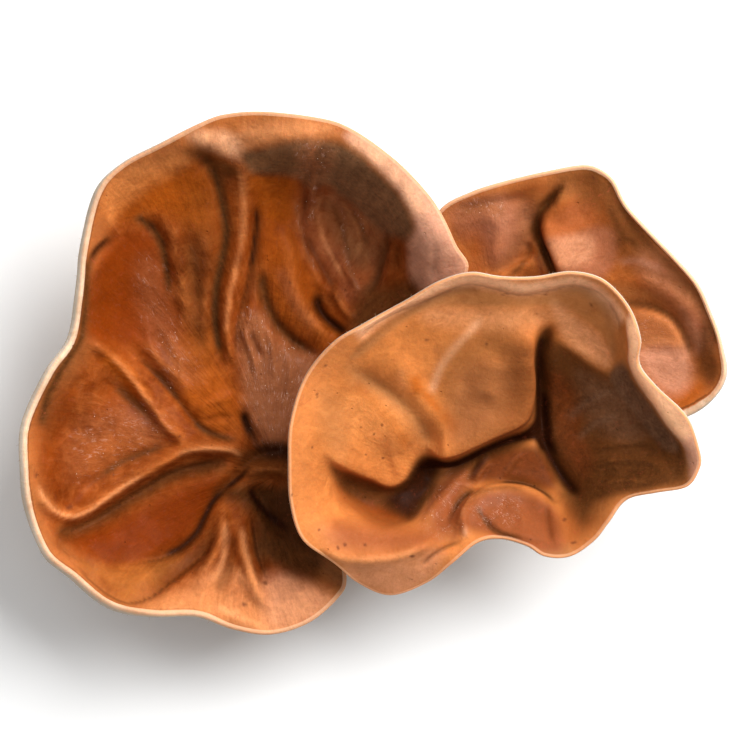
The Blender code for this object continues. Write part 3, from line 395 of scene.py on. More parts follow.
FRONT_FOLDS = [
    (2.6, 4.2, 1.6, [(-11, -13.8), (-8.8, -15.8), (-6.2, -17.4), (-3.4, -18.8), (-0.2, -20), (3, -21.4),
        (5, -20.4), (6.8, -18), (8, -15)]),
    (3.9, 4.8, 1.2, [(9.8, -13), (12.6, -14.8), (15.4, -14.8), (18.6, -13.4), (23.6, -11), (27.4, -9.4),
        (29.4, -8), (30.2, -5.6), (30.6, -1.4), (30.2, 3.4), (30.8, 7.8), (33, 11.8)]),
    (-3.6, 1.4, 1.4, [(7, -19.4), (11, -19.2), (15, -19), (19, -17.4), (24, -15), (29, -13),
        (33.4, -12.2)]),
    (-3.4, 1.2, 1.3, [(34.2, -15), (33.6, -9), (33.6, -3), (33.2, 3), (34.2, 7.4), (36.2, 10.6)]),
    (-2.6, 1.5, 1.2, [(31, -10.2), (33.6, -13), (35.4, -16.6), (37.4, -20.2), (40, -23.4), (43, -26)]),
    (-2.2, 2.8, 2.2, [(-9, -17.8), (-6, -21.8), (-2.6, -25.2), (1.4, -28), (5, -28.6), (7.6, -27),
        (9.4, -24.4), (11.4, -22), (14.6, -19.8)]),
    (-1.5, 2.6, 2.2, [(-6.6, 3.4), (-2.2, -0.4), (2, -3), (5.6, -5.8), (8.6, -9), (10.6, -12.6),
        (11.8, -15.8)]),
    (1, 2.4, 2.6, [(2.6, 6), (5, 1.6), (7.8, -3), (10.8, -7.4), (14, -11.4)]),
    (0.5, 1.2, 1.2, [(22.2, 12.6), (18.6, 8), (15.4, 4.6), (13, 1), (11.4, -3.8)]),
    (-0.8, 1.8, 1.8, [(25.4, 9.4), (21, 4.6), (18.2, 0), (17, -5.4)]),
    (0.9, 3.4, 3.4, [(24.6, 4.6), (23.4, -1), (21.8, -5.8)]),
    (-0.9, 0.6, 1.8, [(-5, 5), (-1.8, 8.2), (1, 10.4), (5, 12.4), (11, 14.8), (15, 16.6), (19, 17.8),
        (24, 16.8), (29, 15.6), (34.6, 16.4), (39, 17.4), (43.4, 16.6), (46.4, 14.2), (48.4, 10.6),
        (49, 6)]),
    (1.2, 2, 0.6, [(49.2, 13), (50.8, 9), (51.4, 5), (51.6, 2.2), (53.8, -2), (56.8, -6), (59.4, -10),
        (62.4, -14), (63.2, -17.8)]),
    (0.55, 0.6, 0.6, [(42.6, -16.2), (46, -14.4), (50, -13.6), (54, -13.8), (57.8, -15.4)]),
    (0.55, 0.6, 0.6, [(42.6, -19.4), (46, -17.4), (51, -17), (56, -17.8), (59, -20.6)]),
    (0.45, 0.6, 0.6, [(44.6, -22.6), (49, -21), (55, -21.4)]),
    (0.5, 0.7, 0.7, [(36.2, -10), (39, -5.4), (44.2, -2.6)]),
    (0.45, 0.6, 0.6, [(39.4, -12.2), (43, -9), (48.2, -7.4)]),
    (0.9, 1.6, 1, [(35.4, 7.8), (40, 5), (44.6, 1.8), (48.6, -0.6)]),
    (1.6, 1.5, 1.6, [(8.6, -31), (11, -27.8), (13.8, -24.2), (16.6, -21.4), (19.8, -18.6)]),
    (-1.4, 0.8, 0.8, [(14.2, -31.4), (15.6, -27), (17.8, -24.2), (21, -22.4)]),
    (1.8, 0.9, 3.2, [(16.2, -33.4), (17.4, -28.8), (19.4, -25.4), (22.4, -23.4), (26.4, -22.6),
        (30.6, -23.2), (34.2, -25), (37.4, -28.2)]),
    (-1.4, 0.8, 0.7, [(23.4, -21.6), (27.4, -21.6), (31, -22.2), (34.2, -24), (37.2, -26.6)]),
    (-1, 0.6, 0.7, [(20.6, -26.6), (22.4, -29.4), (24.8, -31.6), (29, -32.8), (34.2, -33.6)]),
    (0.8, 0.8, 0.9, [(18, -26.6), (18, -29.8), (18.4, -33.2)]),
    (0.6, 0.8, 0.9, [(25.8, -25.4), (28.8, -27.6), (30.6, -31)]),
    (-0.5, 0.4, 0.4, [(34, -25.8), (34.6, -30.2), (35.6, -35)]),
    (0.9, 0.7, 0.7, [(19.8, -22.2), (21.4, -19), (23.6, -16.6)]),
    (0.5, 0.7, 0.7, [(25.6, -21), (27.4, -17.8), (29.8, -15)]),
    (-0.9, 0.6, 0.6, [(18, -22.2), (19.6, -19.2), (21.6, -17)]),
    (1.4, 1.4, 1.2, [(-11.4, -33.4), (-8.2, -36), (-3.4, -37), (1.8, -36.8), (6, -35.8), (10.2, -34),
        (13.8, -31)]),
    (-0.8, 0.6, 0.6, [(8.6, -39.4), (11, -36.8), (14.2, -34.6), (17.8, -33.2)]),
]
FRONT_PATCHES = [
    ("olive_shade", 0.36, 0.7, [(-5, 3.8), (-0.6, 7.4), (4, 10.4), (9, 13.8), (13, 15.6), (17.4, 16.8),
        (23, 16.4), (29, 15.2), (34.6, 16), (39, 17.4), (43.4, 16.6), (45.8, 14.2), (47.4, 9.8),
        (48.2, 4.6), (47, 4.6), (45.6, 7.8), (42.6, 10.6), (38.6, 13.2), (34.6, 14), (29, 13.8),
        (23, 13.8), (18, 14), (13, 13.8), (8.6, 12.2), (4, 9.4), (0, 6), (-3.4, 3.4)]),
    ("umber_and_shade", 0.86, 2.2, [(34.4, 7.8), (40, 4.8), (45, 1.4), (47.8, 0.6), (50.6, -1.4), (54.2, -6),
        (58.6, -11), (62.6, -16), (63.8, -19), (62.6, -22.6), (55, -23.4), (48, -24.6), (44.4, -26.6),
        (41.6, -29.4), (38.6, -25.4), (35.6, -19.4), (33.6, -13.4), (33.2, -5), (33, 3)]),
    ("shade", 0.36, 0.9, [(45.4, 14.6), (47.8, 13.4), (49.6, 9.4), (50.4, 4.6), (51.6, 0.8), (54.6, -3.2),
        (52.6, -4.2), (49, -1), (47.2, 2.6), (47, 7.4), (45.8, 11)]),
    ("dusk_and_shade", 0.75, 0.8, [(49.4, 2.6), (51.8, -1.8), (55, -5.8), (57.6, -9.8), (60.2, -13), (60.6, -15),
        (58.6, -15), (55.8, -12.6), (52.6, -8.6), (49, -4.2), (47, -0.2)]),
    ("umber_and_shade", 0.82, 0.8, [(50.2, 1.4), (51.8, -1.8), (55, -5.8), (57.6, -9.8), (61, -13.8), (61.8, -18.2),
        (60.2, -20.2), (57, -13.8), (53.8, -9.8), (50.6, -5.4), (47.4, -0.2)]),
    ("rosy", 0.9, 0.5, [(50.6, 11.4), (51, 6), (50.8, 2.6), (52.6, -2), (55.6, -6), (58.2, -10),
        (61.6, -14), (62.4, -18.2), (63, -21), (66.2, -20.2), (67.4, -13), (63, -7.4), (58.6, -2.6),
        (55, 1.4), (54.2, 5), (53.4, 11.4)]),
    ("peach_highlight", 0.88, 0.5, [(50.6, 11.4), (51.2, 6), (51, 2.6), (52.8, -2), (56, -6.2), (58.6, -10.2),
        (61, -12.2), (65.8, -11.4), (63, -7.4), (58.6, -2.6), (55, 1.4), (54.2, 5), (53.4, 11.4)]),
    ("peach_highlight", 0.28, 1.4, [(35.4, 15), (40, 11.8), (45, 7.8), (47.4, 3.8), (46.2, 1.4), (41, 4.6),
        (37.4, 8)]),
    ("umber_and_shade", 0.78, 1.2, [(-9, -18.2), (-6, -18.8), (-1.4, -20), (3, -21.8), (5.4, -20.8), (7, -18.2),
        (9.8, -16.2), (13, -17), (11.8, -21.8), (9.8, -25.4), (7.4, -28.2), (4.2, -27.6), (0, -26),
        (-4.6, -24.2), (-7.4, -21.8)]),
    ("rust", 0.75, 1.8, [(-6.6, -22.2), (-3, -23.8), (3.4, -25), (7.8, -27), (5.4, -29), (1.8, -28.6),
        (-2.2, -26.6)]),
    ("black_shade", 0.92, 1.6, [(2.2, -25), (6.2, -21), (9, -17.4), (13, -18.2), (11.8, -21.4), (9.8, -25),
        (7.8, -27.8), (5.8, -28.2)]),
    ("black_shade", 0.9, 0.9, [(29.8, -11.8), (32.6, -8.2), (33.4, -4), (35.2, -5), (35.4, -11), (36.4, -15.8),
        (34.2, -14.6), (32.2, -13)]),
    ("rust", 0.58, 2, [(-7.8, -21.4), (-4.6, -24.6), (-0.6, -28), (3.4, -30), (0.2, -30.6), (-4.6, -27.4),
        (-7.4, -25)]),
    ("peach_highlight", 0.16, 2, [(11, 13.8), (21, 13.6), (34, 13.6), (34.6, 10.6), (29, 9), (19, 9), (10, 10.6)]),
    ("rust", 0.62, 2.6, [(26.6, 6), (31.4, 6.6), (32.2, -5), (31.4, -9.8), (27, -11.8), (24.2, -12.6),
        (25, -5), (25.8, 1)]),
    ("shade", 0.45, 3, [(13, 6), (25, 9), (31, 6), (31.8, -5), (29, -10.6), (21, -13), (15.4, -13),
        (13, -5)]),
    ("rose", 0.3, 3.2, [(17.4, 0.6), (25, 2), (25, -5), (23, -10), (17, -13), (15.4, -9)]),
    ("lump", 0.88, 2, [(11, -25), (14, -20.6), (17.4, -19), (19.4, -21), (17.4, -25), (15.4, -31.8),
        (11.8, -31)]),
    ("wine_and_shade", 0.3, 1.2, [(31, -25.8), (34.2, -26.6), (36.6, -29.8), (36.2, -33), (33.8, -31)]),
    ("frost", 0.72, 1.8, [(18.2, -26.2), (21, -24.6), (27, -24.6), (29.4, -27), (27, -29.8),
        (21.4, -29.8)]),
    ("frost", 0.45, 2, [(9.8, -25.8), (13.4, -20.6), (17.4, -18.6), (19.4, -20.6), (17.4, -25),
        (15.4, -31.8), (11, -32.2), (9, -29.4)]),
    ("lump", 0.9, 1.6, [(15.4, -33), (17, -28), (19.8, -25), (24, -23.8), (29, -23.8), (34, -25.8),
        (37, -29.4), (37.4, -35.4), (32, -35.4), (25, -33), (18.6, -31.4)]),
    ("rust", 0.4, 1.6, [(25.8, -24.2), (34, -25.4), (37, -29.8), (36.2, -34.6), (31.4, -34.6),
        (27.8, -30.6)]),
    ("umber_and_shade", 0.62, 1.6, [(20.6, -16.6), (29, -14), (34.2, -16.2), (35.4, -21.4), (29.8, -21.4),
        (23.8, -21), (19, -20.6)]),
    ("wine_and_shade", 0.75, 1.2, [(21.8, -17.8), (28, -15), (33, -15.4), (36.2, -20.6), (34.6, -22.6), (29, -21),
        (23.8, -21), (19.8, -21)]),
    ("rust", 0.6, 1.6, [(17.4, -21), (23, -17.4), (31, -15.4), (34.6, -19), (36.2, -23.4), (31, -22.2),
        (25, -21.8)]),
    ("rose", 0.3, 2.6, [(-10.6, -30.6), (-5, -29.8), (2, -31.4), (9, -32), (9.8, -34.6), (3, -36.2),
        (-6, -36.2), (-10.2, -34.2)]),
    ("shade", 0.15, 1.6, [(-10.6, -37), (-6, -38.2), (1, -38.2), (7, -37.2), (11.4, -35), (15, -37),
        (10, -42.6), (4, -45.8), (-2, -44.2), (-7, -41)]),
    ("wine_and_shade", 0.6, 1.8, [(35.4, 0.6), (38.2, -0.6), (41, -5), (41.4, -11), (43.4, -16.2), (42, -20.6),
        (38.6, -17.4), (36.2, -11), (35.2, -5)]),
    ("dusk_and_shade", 0.42, 2.2, [(40.6, 0.6), (46.2, -1.4), (51, -5.4), (54.6, -11), (51, -13), (45.8, -11.4),
        (42.2, -7.4)]),
    ("umber_and_shade", 0.72, 1.6, [(42.2, -19), (47.4, -17.4), (53, -18.2), (57.8, -19.8), (55, -22.6),
        (48.2, -23.4), (44.6, -24.6)]),
    ("lump", 0.25, 1.6, [(40, -5), (45, -3.4), (50.2, -6), (53.4, -10.2), (49, -12.6), (43, -11)]),
    ("lump", 0.3, 2.6, [(37.4, 0.6), (45, -1.8), (53, -8.2), (51.4, -13.8), (41.8, -13.4), (37, -8)]),
    ("rosy", 0.35, 2.2, [(-6, -38.2), (5, -37), (13, -35.4), (11, -41), (4, -44.6), (-3, -42.2)]),
    ("rust", 0.62, 2.6, [(-8, -29), (1, -31), (11, -30.6), (13, -34), (3, -35.4), (-7, -34)]),
    ("gold", 0.3, 2.6, [(-6.2, -4.6), (1, -4.2), (5.4, -10.6), (4.2, -15.4), (-0.6, -14.2)]),
    ("olive_shade", 0.3, 2.6, [(-10.6, -3.4), (-7, -5), (-5, -11), (-6, -16.6), (-9, -15.4), (-11.4, -9)]),
    ("olive_shade", 0.46, 2.4, [(-5, 1.8), (-1.4, -0.2), (4, -3.4), (8.6, -7.8), (11.4, -13), (9.8, -14.2),
        (5.8, -9), (1, -4.6), (-4, -1.8)]),
    ("umber_and_shade", 0.32, 2.2, [(37.4, -23.4), (44.6, -25), (47.8, -26), (45, -29.8), (41.4, -31.4),
        (38.6, -27.4)]),
    ("rust", 0.5, 2.6, [(38, -25), (43, -27), (45, -29), (41, -34), (37.4, -35.4), (37, -29)]),
    ("olive_shade", 0.6, 2, [(34, -34), (40, -35.4), (39, -39), (31, -37)]),
]
FRONT_TINTS = [
    ("black_shade", 1, 1.5, 0.8, [(8.6, -17.4), (14, -18.4), (17.4, -17.8), (23, -15.2), (29, -13), (33, -11.8),
        (36.2, -10.6)]),
    ("black_shade", 0.92, 1.4, 0.9, [(34.2, -16.2), (33.6, -12.2), (33.4, -6), (33.2, 0), (33.4, 4.6),
        (34.2, 7.8)]),
    ("black_shade", 0.95, 0.9, 0.9, [(31.6, -9), (33, -11.8), (34.4, -15), (36.4, -18.6), (38.6, -21.8),
        (41, -24.2)]),
    ("umber_and_shade", 0.8, 0.6, 0.6, [(24.8, -21.8), (27.6, -21.6), (31, -22.2), (34, -23.8), (36.6, -26.2)]),
    ("wine_and_shade", 0.55, 0.7, 0.7, [(34.2, -25.4), (35.2, -29), (35.6, -34)]),
    ("orange", 0.35, 1, 1, [(31.8, -27), (33, -30.4), (33.4, -33.8)]),
    ("umber_and_shade", 0.65, 0.6, 0.6, [(20.2, -25.6), (21.6, -28.4), (23.4, -30.6), (26.4, -32), (29.8, -32.6)]),
    ("umber_and_shade", 0.5, 0.6, 0.6, [(19, -25), (21.8, -23.8), (26.2, -23.2), (31, -23.8)]),
    ("rosy", 0.45, 0.6, 0.6, [(18.8, -26.2), (18.4, -29.4), (18, -32.6)]),
    ("rosy", 0.4, 1, 0.8, [(21.8, -26.2), (25, -25.2), (28.6, -25.6), (31.8, -27)]),
    ("umber_and_shade", 0.7, 0.7, 0.7, [(15.4, -27.4), (17.4, -24.6), (20.2, -23)]),
    ("umber_and_shade", 0.42, 0.7, 0.8, [(-5, 4.2), (-0.6, 7.4), (3.2, 10.4), (9, 13.8), (13, 15.8), (17.4, 17),
        (21.8, 16.8)]),
    ("peach_highlight", 0.8, 1.1, 1.8, [(-4.6, 7.4), (-0.6, 10.8), (4, 13.6), (9, 15.8), (14, 18), (19, 19),
        (24, 18.4), (29, 17.4), (34.6, 18), (39.4, 18.8), (43, 17.8), (45.6, 15.8), (48.2, 13),
        (49.8, 9.8)]),
    ("peach_highlight", 0.7, 0.6, 0.6, [(51.2, 11.4), (51.8, 6), (51.8, 2.6), (54, -2.2), (57, -6.2), (59.8, -10.2),
        (62.6, -13.8)]),
    ("shade", 0.22, 1.2, 1.2, [(35.4, 15), (40, 16.6), (43.4, 15), (46.2, 11.4)]),
    ("umber_and_shade", 0.55, 0.5, 0.5, [(43, -16), (46, -14.6), (50, -13.8), (54, -14), (57.4, -15.4)]),
    ("umber_and_shade", 0.55, 0.5, 0.5, [(42.6, -19.2), (46, -17.6), (51, -17.2), (56, -18), (58.6, -20.2)]),
    ("dusk_and_shade", 0.45, 0.9, 0.9, [(38.2, -9.4), (42, -5.8), (46.2, -3.6), (50.6, -3.8)]),
    ("dusk_and_shade", 0.4, 0.8, 0.8, [(40.2, -13.4), (44.2, -9.8), (49.4, -7.6)]),
    ("lump", 0.45, 0.8, 0.8, [(44.2, -17.4), (49, -15.4), (54.2, -15.8)]),
    ("lump", 0.4, 0.8, 0.8, [(45, -20.6), (50, -19), (55, -19.8)]),
    ("rust", 0.6, 1.2, 1.2, [(35.2, 0.6), (35.2, -5), (35.8, -10), (37.4, -14.6)]),
    ("lump", 0.35, 0.7, 0.7, [(38.2, -8), (41, -5.4), (45, -3.4)]),
    ("umber_and_shade", 0.55, 1.5, 0.7, [(-7, -20.2), (-3, -22.2), (2.6, -23.8)]),
    ("orange", 0.65, 1.4, 1.4, [(7.8, 0.6), (8.2, -2), (8.8, -4.6)]),
    ("orange", 0.55, 1, 1, [(9, -2.6), (11.4, -5.4), (14.2, -8.2)]),
    ("orange", 0.7, 1.6, 1.6, [(13, -7), (15, -9), (17, -11)]),
    ("orange", 0.55, 1.5, 1.5, [(-4.6, -1.4), (-0.6, -5), (3.4, -9.8), (6.6, -15.4)]),
    ("peach_highlight", 0.42, 0.9, 1, [(21.8, 12), (19, 8.6), (16, 5.4), (13.4, 1.8), (12.2, -1), (11.2, -4.2)]),
    ("cream", 0.22, 0.9, 0.9, [(5.8, 2.2), (5, -0.6), (6.6, -3.4)]),
    ("cream", 0.45, 0.8, 0.8, [(-9.8, -35.4), (-6, -37), (-0.6, -37), (5, -36.2), (9, -34.6)]),
    ("peach_highlight", 0.55, 0.6, 0.7, [(18.4, -27), (18, -30), (18.2, -33)]),
    ("rosy", 0.45, 0.6, 0.6, [(19.4, -21), (21.2, -18.4), (23.4, -16.2)]),
    ("rosy", 0.35, 0.5, 0.5, [(24.8, -21), (26.6, -18), (28.8, -15.4)]),
    ("umber_and_shade", 0.6, 0.6, 0.6, [(22.2, -20.8), (23.8, -18.2), (26, -16)]),
    ("umber_and_shade", 0.35, 0.4, 0.4, [(9, -38.6), (11.4, -36.2), (14.2, -34.4), (17.4, -33.2)]),
]
FRONT_SPECKS = [
    (-11.6, -4, 0.55, 0.22, 100), (1.4, -10, 0.35, 0.25, 90), (-0.2, -11.8, 0.3, 0.2, 70),
    (-1.8, -15.6, 0.25, 0.2, 0), (1.6, -16.4, 0.25, 0.2, 0), (-2.8, -10.4, 0.22, 0.18, 0),
    (-16.6, -24, 0.4, 0.2, 90), (-12.6, -14.4, 0.2, 0.2, 0), (-6, -34, 0.4, 0.4, 0),
    (-7.4, -34.6, 0.4, 0.3, 90), (-2, -34, 0.35, 0.35, 0), (10.4, 7, 0.4, 0.25, 0),
    (22.4, 6.2, 0.3, 0.2, 20), (26, 16, 0.6, 0.16, 20), (34, 16, 0.6, 0.16, 5),
    (43.2, 13.8, 0.6, 0.25, 130), (7.4, -36.2, 0.3, 0.5, 90), (38, -29, 0.4, 0.4, 0),
    (39.8, -33.6, 0.3, 0.5, 90), (-9.8, 2, 0.3, 0.3, 0), (-11.2, -31, 0.3, 0.3, 0),
]
FRONT_BAND = [
    (-17, -18, 0.3, 0.7), (0, -44, 0.3, 0.8), (20, 20, 0.3, 0.7), (50, 14, 0.3, 0.7), (65, -18, 0.3, 0.8),
]
EAR_FRONT = {
    "node": "ear_front", "heart": (11.0, -21.5), "finish": (420, 165, 40),
    "joint": ((7.6, -17.4, 8.3), (0.217, -0.523, 0.824), 5.6),
    "pale": 0.85, "lined": 0.25, "edged": 0.32,
    "rim": FRONT_RIM, "hollow": FRONT_HOLLOW, "folds": FRONT_FOLDS, "patches": FRONT_PATCHES,
    "tints": FRONT_TINTS, "specks": FRONT_SPECKS, "band": FRONT_BAND,
}

BACK_RIM = [
    (70.6, 0, 27), (69.8, 5.6, 28), (67.6, 11.4, 29), (64.8, 17.8, 29.5), (60.8, 22.6, 30),
    (54.4, 29.4, 30), (50.2, 34.2, 30), (47.8, 39, 30), (44.8, 41.6, 30), (41, 42.2, 30), (33.6, 40.8, 30),
    (26, 39, 30), (19.2, 36.8, 29.5), (13, 33.4, 29), (9.4, 26, 26), (9.6, 17, 22), (11, 9, 18),
    (13.4, 2.6, 15.5), (18, -3.5, 13.5), (25, -6.5, 12.8), (34, -8, 13), (44, -9.4, 14.5), (54, -9.8, 18),
    (62.4, -8.6, 22), (68, -4.8, 25),
]
BACK_HOLLOW = [
    (20.5, 0, 12), (18, 22, 20), (16, 28, 23), (25, 28, 22), (24, 16, 17), (33, 34, 25), (31, 20, 17),
    (36, 22, 19.5), (44, 33, 25.5), (41, 27, 22.5), (46, 18, 18.5), (50.6, 27, 24), (57, 19.5, 22.5),
    (52, 19, 20), (64, 9.6, 22.5), (57, 12, 19.5), (56, 4, 18), (36, 2, 12.6), (50, -3, 15.5),
    (65.4, 0, 21.5),
]
BACK_FOLDS = [
    (3.4, 4.6, 1, [(40, 39.8), (38.2, 37), (36.6, 34), (34.6, 31.8), (34.4, 29.8), (35.2, 27),
        (36.6, 23.8), (38.2, 20), (39.4, 15)]),
    (-2.4, 1.3, 1.5, [(38.2, 39), (35.8, 35), (33.2, 30.6), (33.2, 27.4), (34.8, 23.8), (37, 19)]),
    (1.3, 0.9, 0.9, [(31.8, 27.4), (33, 25), (34.2, 21.8), (35.4, 18)]),
    (-1.2, 0.9, 0.9, [(30.6, 27), (31, 24.6), (29.4, 21.4)]),
    (1.6, 0.9, 2.4, [(22.2, 18.2), (26, 20), (30, 22.2), (33, 23.4)]),
    (1.3, 2.6, 2.4, [(21, 34), (24.2, 30.6), (24.6, 26), (22.6, 20)]),
    (-0.8, 2, 2, [(29, 37), (30.6, 33), (30.2, 28.6)]),
    (-0.7, 1.2, 1.6, [(16, 32.6), (21, 34.2), (27, 35), (33, 37)]),
    (-1.6, 1.2, 2.2, [(44.6, 41), (47, 38), (49, 34), (51.8, 30), (56, 26), (61, 20.6), (65, 15),
        (67.4, 9), (68.6, 3.4)]),
    (-1.1, 1.3, 0.8, [(48.2, 14.2), (53, 14), (57, 13), (60, 11), (61.8, 8.2), (63, 5), (63.4, 0.6)]),
    (0.9, 1.2, 3.4, [(50.6, 12), (54.6, 12.2), (57.8, 11), (60, 8.6), (61.2, 5), (61, 0)]),
    (0.9, 1.6, 1.6, [(50.6, 19.8), (56, 18.2), (61, 15), (65, 10)]),
    (-0.5, 1.4, 1.4, [(53, 5), (57, 4.6), (60.6, 5)]),
]
BACK_PATCHES = [
    ("rust", 0.4, 2, [(14, 33.4), (19, 35), (25, 35.8), (32, 39), (34, 37.4), (29, 35), (25, 30),
        (22.6, 29), (17, 27.4)]),
    ("lump", 0.4, 2, [(16, 29.8), (21.4, 30.2), (21.8, 22.6), (19.8, 20), (17, 27)]),
    ("shade", 0.45, 2.4, [(29, 34), (34, 36), (36.2, 35.8), (32.2, 30.6), (31, 27), (26, 22), (25, 22.6),
        (28, 28)]),
    ("umber_and_shade", 0.85, 1, [(37.4, 38.2), (38.6, 37), (36.2, 33.6), (33.8, 31.2), (33.2, 29), (34.2, 26.6),
        (35.6, 23.8), (37.4, 19.8), (35, 19.8), (33, 24.6), (31.8, 27.8), (31, 29.4), (33, 33.8),
        (35.4, 36.6)]),
    ("rose", 0.35, 1.6, [(37, 33.4), (40, 35.4), (43.4, 35), (44.2, 30.6), (40, 28.6), (35, 27.8),
        (33.8, 30.2)]),
    ("orange", 0.72, 1, [(37, 33.8), (40, 35.4), (43.4, 35), (44.2, 30.6), (40, 28.6), (35, 27.8),
        (33.8, 30.2)]),
    ("rosy", 0.22, 2.4, [(15, 33.8), (21, 35), (26, 35.4), (26.6, 29.4), (21, 27.8), (16.6, 28.6)]),
    ("rose", 0.8, 2.4, [(21.8, 34), (29, 35), (32.2, 32), (29, 25), (24, 22), (21.8, 26)]),
    ("umber_and_shade", 0.65, 2.4, [(36.2, 40.6), (45, 41.8), (46.2, 37), (44.6, 33.4), (40, 35), (37.4, 37)]),
    ("peach_highlight", 0.2, 1.2, [(35, 27), (39.4, 28), (43.8, 27.8), (43.4, 23.4), (39, 21.8), (36.6, 23.8)]),
    ("rose", 0.72, 1.2, [(34.6, 27.8), (40, 28.6), (45, 29.8), (48.6, 28.2), (48.2, 22.6), (45, 19.4),
        (38.2, 19.4), (36.2, 23.4)]),
    ("rust", 0.55, 2.6, [(40, 39.4), (43.4, 40), (46.2, 37), (47.4, 31), (45, 29.8), (44.2, 35)]),
    ("umber_and_shade", 0.5, 2.4, [(43.4, 40.6), (46.2, 38.2), (48.6, 34), (51.8, 29.8), (55, 27), (54.2, 23.8),
        (49.4, 22.6), (47.4, 27), (46.2, 34)]),
    ("rosy", 0.28, 2.2, [(53, 25), (57, 24.2), (61.8, 18.6), (65.8, 13), (67.8, 7), (65.4, 4.6), (63, 9),
        (58.6, 15), (53, 20.6)]),
    ("shade", 0.45, 1, [(46.6, 18.2), (51, 18), (56, 17), (60, 15), (63, 11.8), (64.6, 7), (63, 4.6),
        (61.8, 8.2), (59.4, 11.4), (56, 13.2), (51.4, 13.6), (47.4, 14)]),
    ("rosy", 0.4, 1.2, [(61.4, 13.4), (64.2, 10.6), (65.8, 6.2), (64.6, 4.2), (62.6, 8.2)]),
    ("umber_and_shade", 0.75, 1.6, [(65.8, 10), (68.2, 5), (69.4, 0.6), (67.4, -2.2), (65, 0.6), (64.2, 5)]),
    ("cream", 0.45, 0.8, [(51.8, 12.2), (55.4, 12.6), (58.6, 11.4), (61, 8.6), (61.4, 5.8), (56, 6.6),
        (52.6, 5.8)]),
    ("orange", 0.66, 1, [(51.8, 11.8), (55.4, 12.4), (58.6, 11.2), (61, 8.2), (60.2, 6.2), (56, 8.2),
        (52.6, 8.6)]),
    ("frost", 0.35, 1.6, [(52.6, 10.6), (56, 11.4), (59, 9.8), (60.2, 7.4), (56, 7), (53, 6.6)]),
    ("rosy", 0.6, 2, [(53, 5), (61, 6), (63.4, 2.6), (63, -2), (59, -4.2), (54, 0.6)]),
    ("orange", 0.65, 1.8, [(55.4, -1), (61, -1.8), (66.2, -1.8), (65, -5), (61, -7.4), (57.4, -4.2)]),
]
BACK_TINTS = [
    ("black_shade", 0.75, 0.7, 0.9, [(34.8, 32.6), (33.6, 30.2), (34, 27.4), (35.2, 24.6), (37, 20.6)]),
    ("black_shade", 0.6, 0.8, 0.8, [(30.4, 23.4), (29, 21.4), (26.6, 20.2)]),
    ("umber_and_shade", 0.5, 0.9, 0.9, [(46.2, 35.4), (48.2, 30.6), (50.6, 26.2)]),
    ("umber_and_shade", 0.5, 0.8, 0.8, [(47.4, 25.4), (50.6, 27.2), (53.4, 24.6)]),
    ("rosy", 0.4, 0.8, 0.8, [(48.2, 22.6), (53, 22.8), (58.6, 20.6)]),
    ("umber_and_shade", 0.3, 0.9, 0.9, [(48.2, 20.4), (54, 21), (59.4, 19), (63.4, 15)]),
    ("rust", 0.5, 0.7, 0.7, [(53, 9.8), (56, 10.6), (58.6, 9.4), (59.8, 7.4)]),
    ("orange", 0.45, 1.6, 1.6, [(19.8, 29.8), (20.6, 26.2), (19.8, 22.6)]),
    ("orange", 0.5, 1.2, 1.2, [(61.8, 14.2), (63.8, 10.6), (65.8, 7)]),
    ("umber_and_shade", 0.6, 0.6, 1.4, [(45.8, 39), (49, 34), (51.8, 29.4), (56, 25), (61.8, 19), (66.2, 12.6),
        (68.8, 5)]),
    ("umber_and_shade", 0.55, 0.8, 0.8, [(48.6, 14.4), (53.4, 14.2), (57.4, 13), (60.4, 10.6), (62.2, 7.6),
        (63.2, 4)]),
    ("frost", 0.55, 1, 1, [(32.2, 24.6), (33.2, 22.6), (34.2, 20.6)]),
    ("cream", 0.35, 0.8, 0.8, [(54.2, 6.2), (57.8, 7), (61, 6.6)]),
    ("frost", 0.8, 1.8, 1.8, [(16.6, 32.6), (19, 33.8), (24, 33.4), (27.4, 32.6)]),
]
BACK_SPECKS = [
    (30, 32.8, 0.3, 0.2, 0), (46, 12, 0.3, 0.2, 0), (43.8, 39.4, 0.3, 0.2, 45),
]
BACK_BAND = [
    (68, 10, 0.5, 0.75), (55, 29, 0.5, 0.75), (44, 41, 0.5, 0.75), (30, 40, 0.4, 0.7), (14, 33, 0.4, 0.7),
    (69, -2, 0.6, 1), (64, -8, 0.8, 1.4),
]
EAR_BACK = {
    "node": "ear_back", "heart": (20.5, 0.0), "finish": (360, 120, 30),
    "joint": ((14.0, -4.0, 6.9), (0.581, 0.389, 0.715), 5.6),
    "pale": 0.4, "lined": 0.6, "edged": 0.50,
    "rim": BACK_RIM, "hollow": BACK_HOLLOW, "folds": BACK_FOLDS, "patches": BACK_PATCHES,
    "tints": BACK_TINTS, "specks": BACK_SPECKS, "band": BACK_BAND,
}

EARS = (EAR_LEFT, EAR_FRONT, EAR_BACK)

# Colours as reflected light: hollow, painted shade of fold troughs and creases, painted highlight of
# crests, painted light of the lip, painted shade of the rim's groove, rim, specks, outer side.
FLESH_MAIN = (0.30, 0.058, 0.0060)
FLESH_DEEP = (0.17, 0.030, 0.0032)
FLESH_PALE = (0.60, 0.195, 0.047)
TROUGH_SHADE = (0.070, 0.019, 0.004)
CREST_HIGHLIGHT = (0.56, 0.17, 0.040)
CREASE_SHADE = (0.035, 0.009, 0.003)
LIP_LIGHT = (0.62, 0.21, 0.060)
RIM_GROOVE_SHADE = (0.12, 0.042, 0.014)
RIM_PLAIN = (0.87, 0.52, 0.31)
RIM_CREAM = (0.84, 0.64, 0.45)
RIM_TAN = (0.66, 0.44, 0.28)
RIM_GREY = (0.50, 0.41, 0.32)
STREAK_PALE = (0.46, 0.15, 0.050)
FILM_PALE = (0.70, 0.41, 0.30)
SPECK_RED = (0.40, 0.075, 0.035)
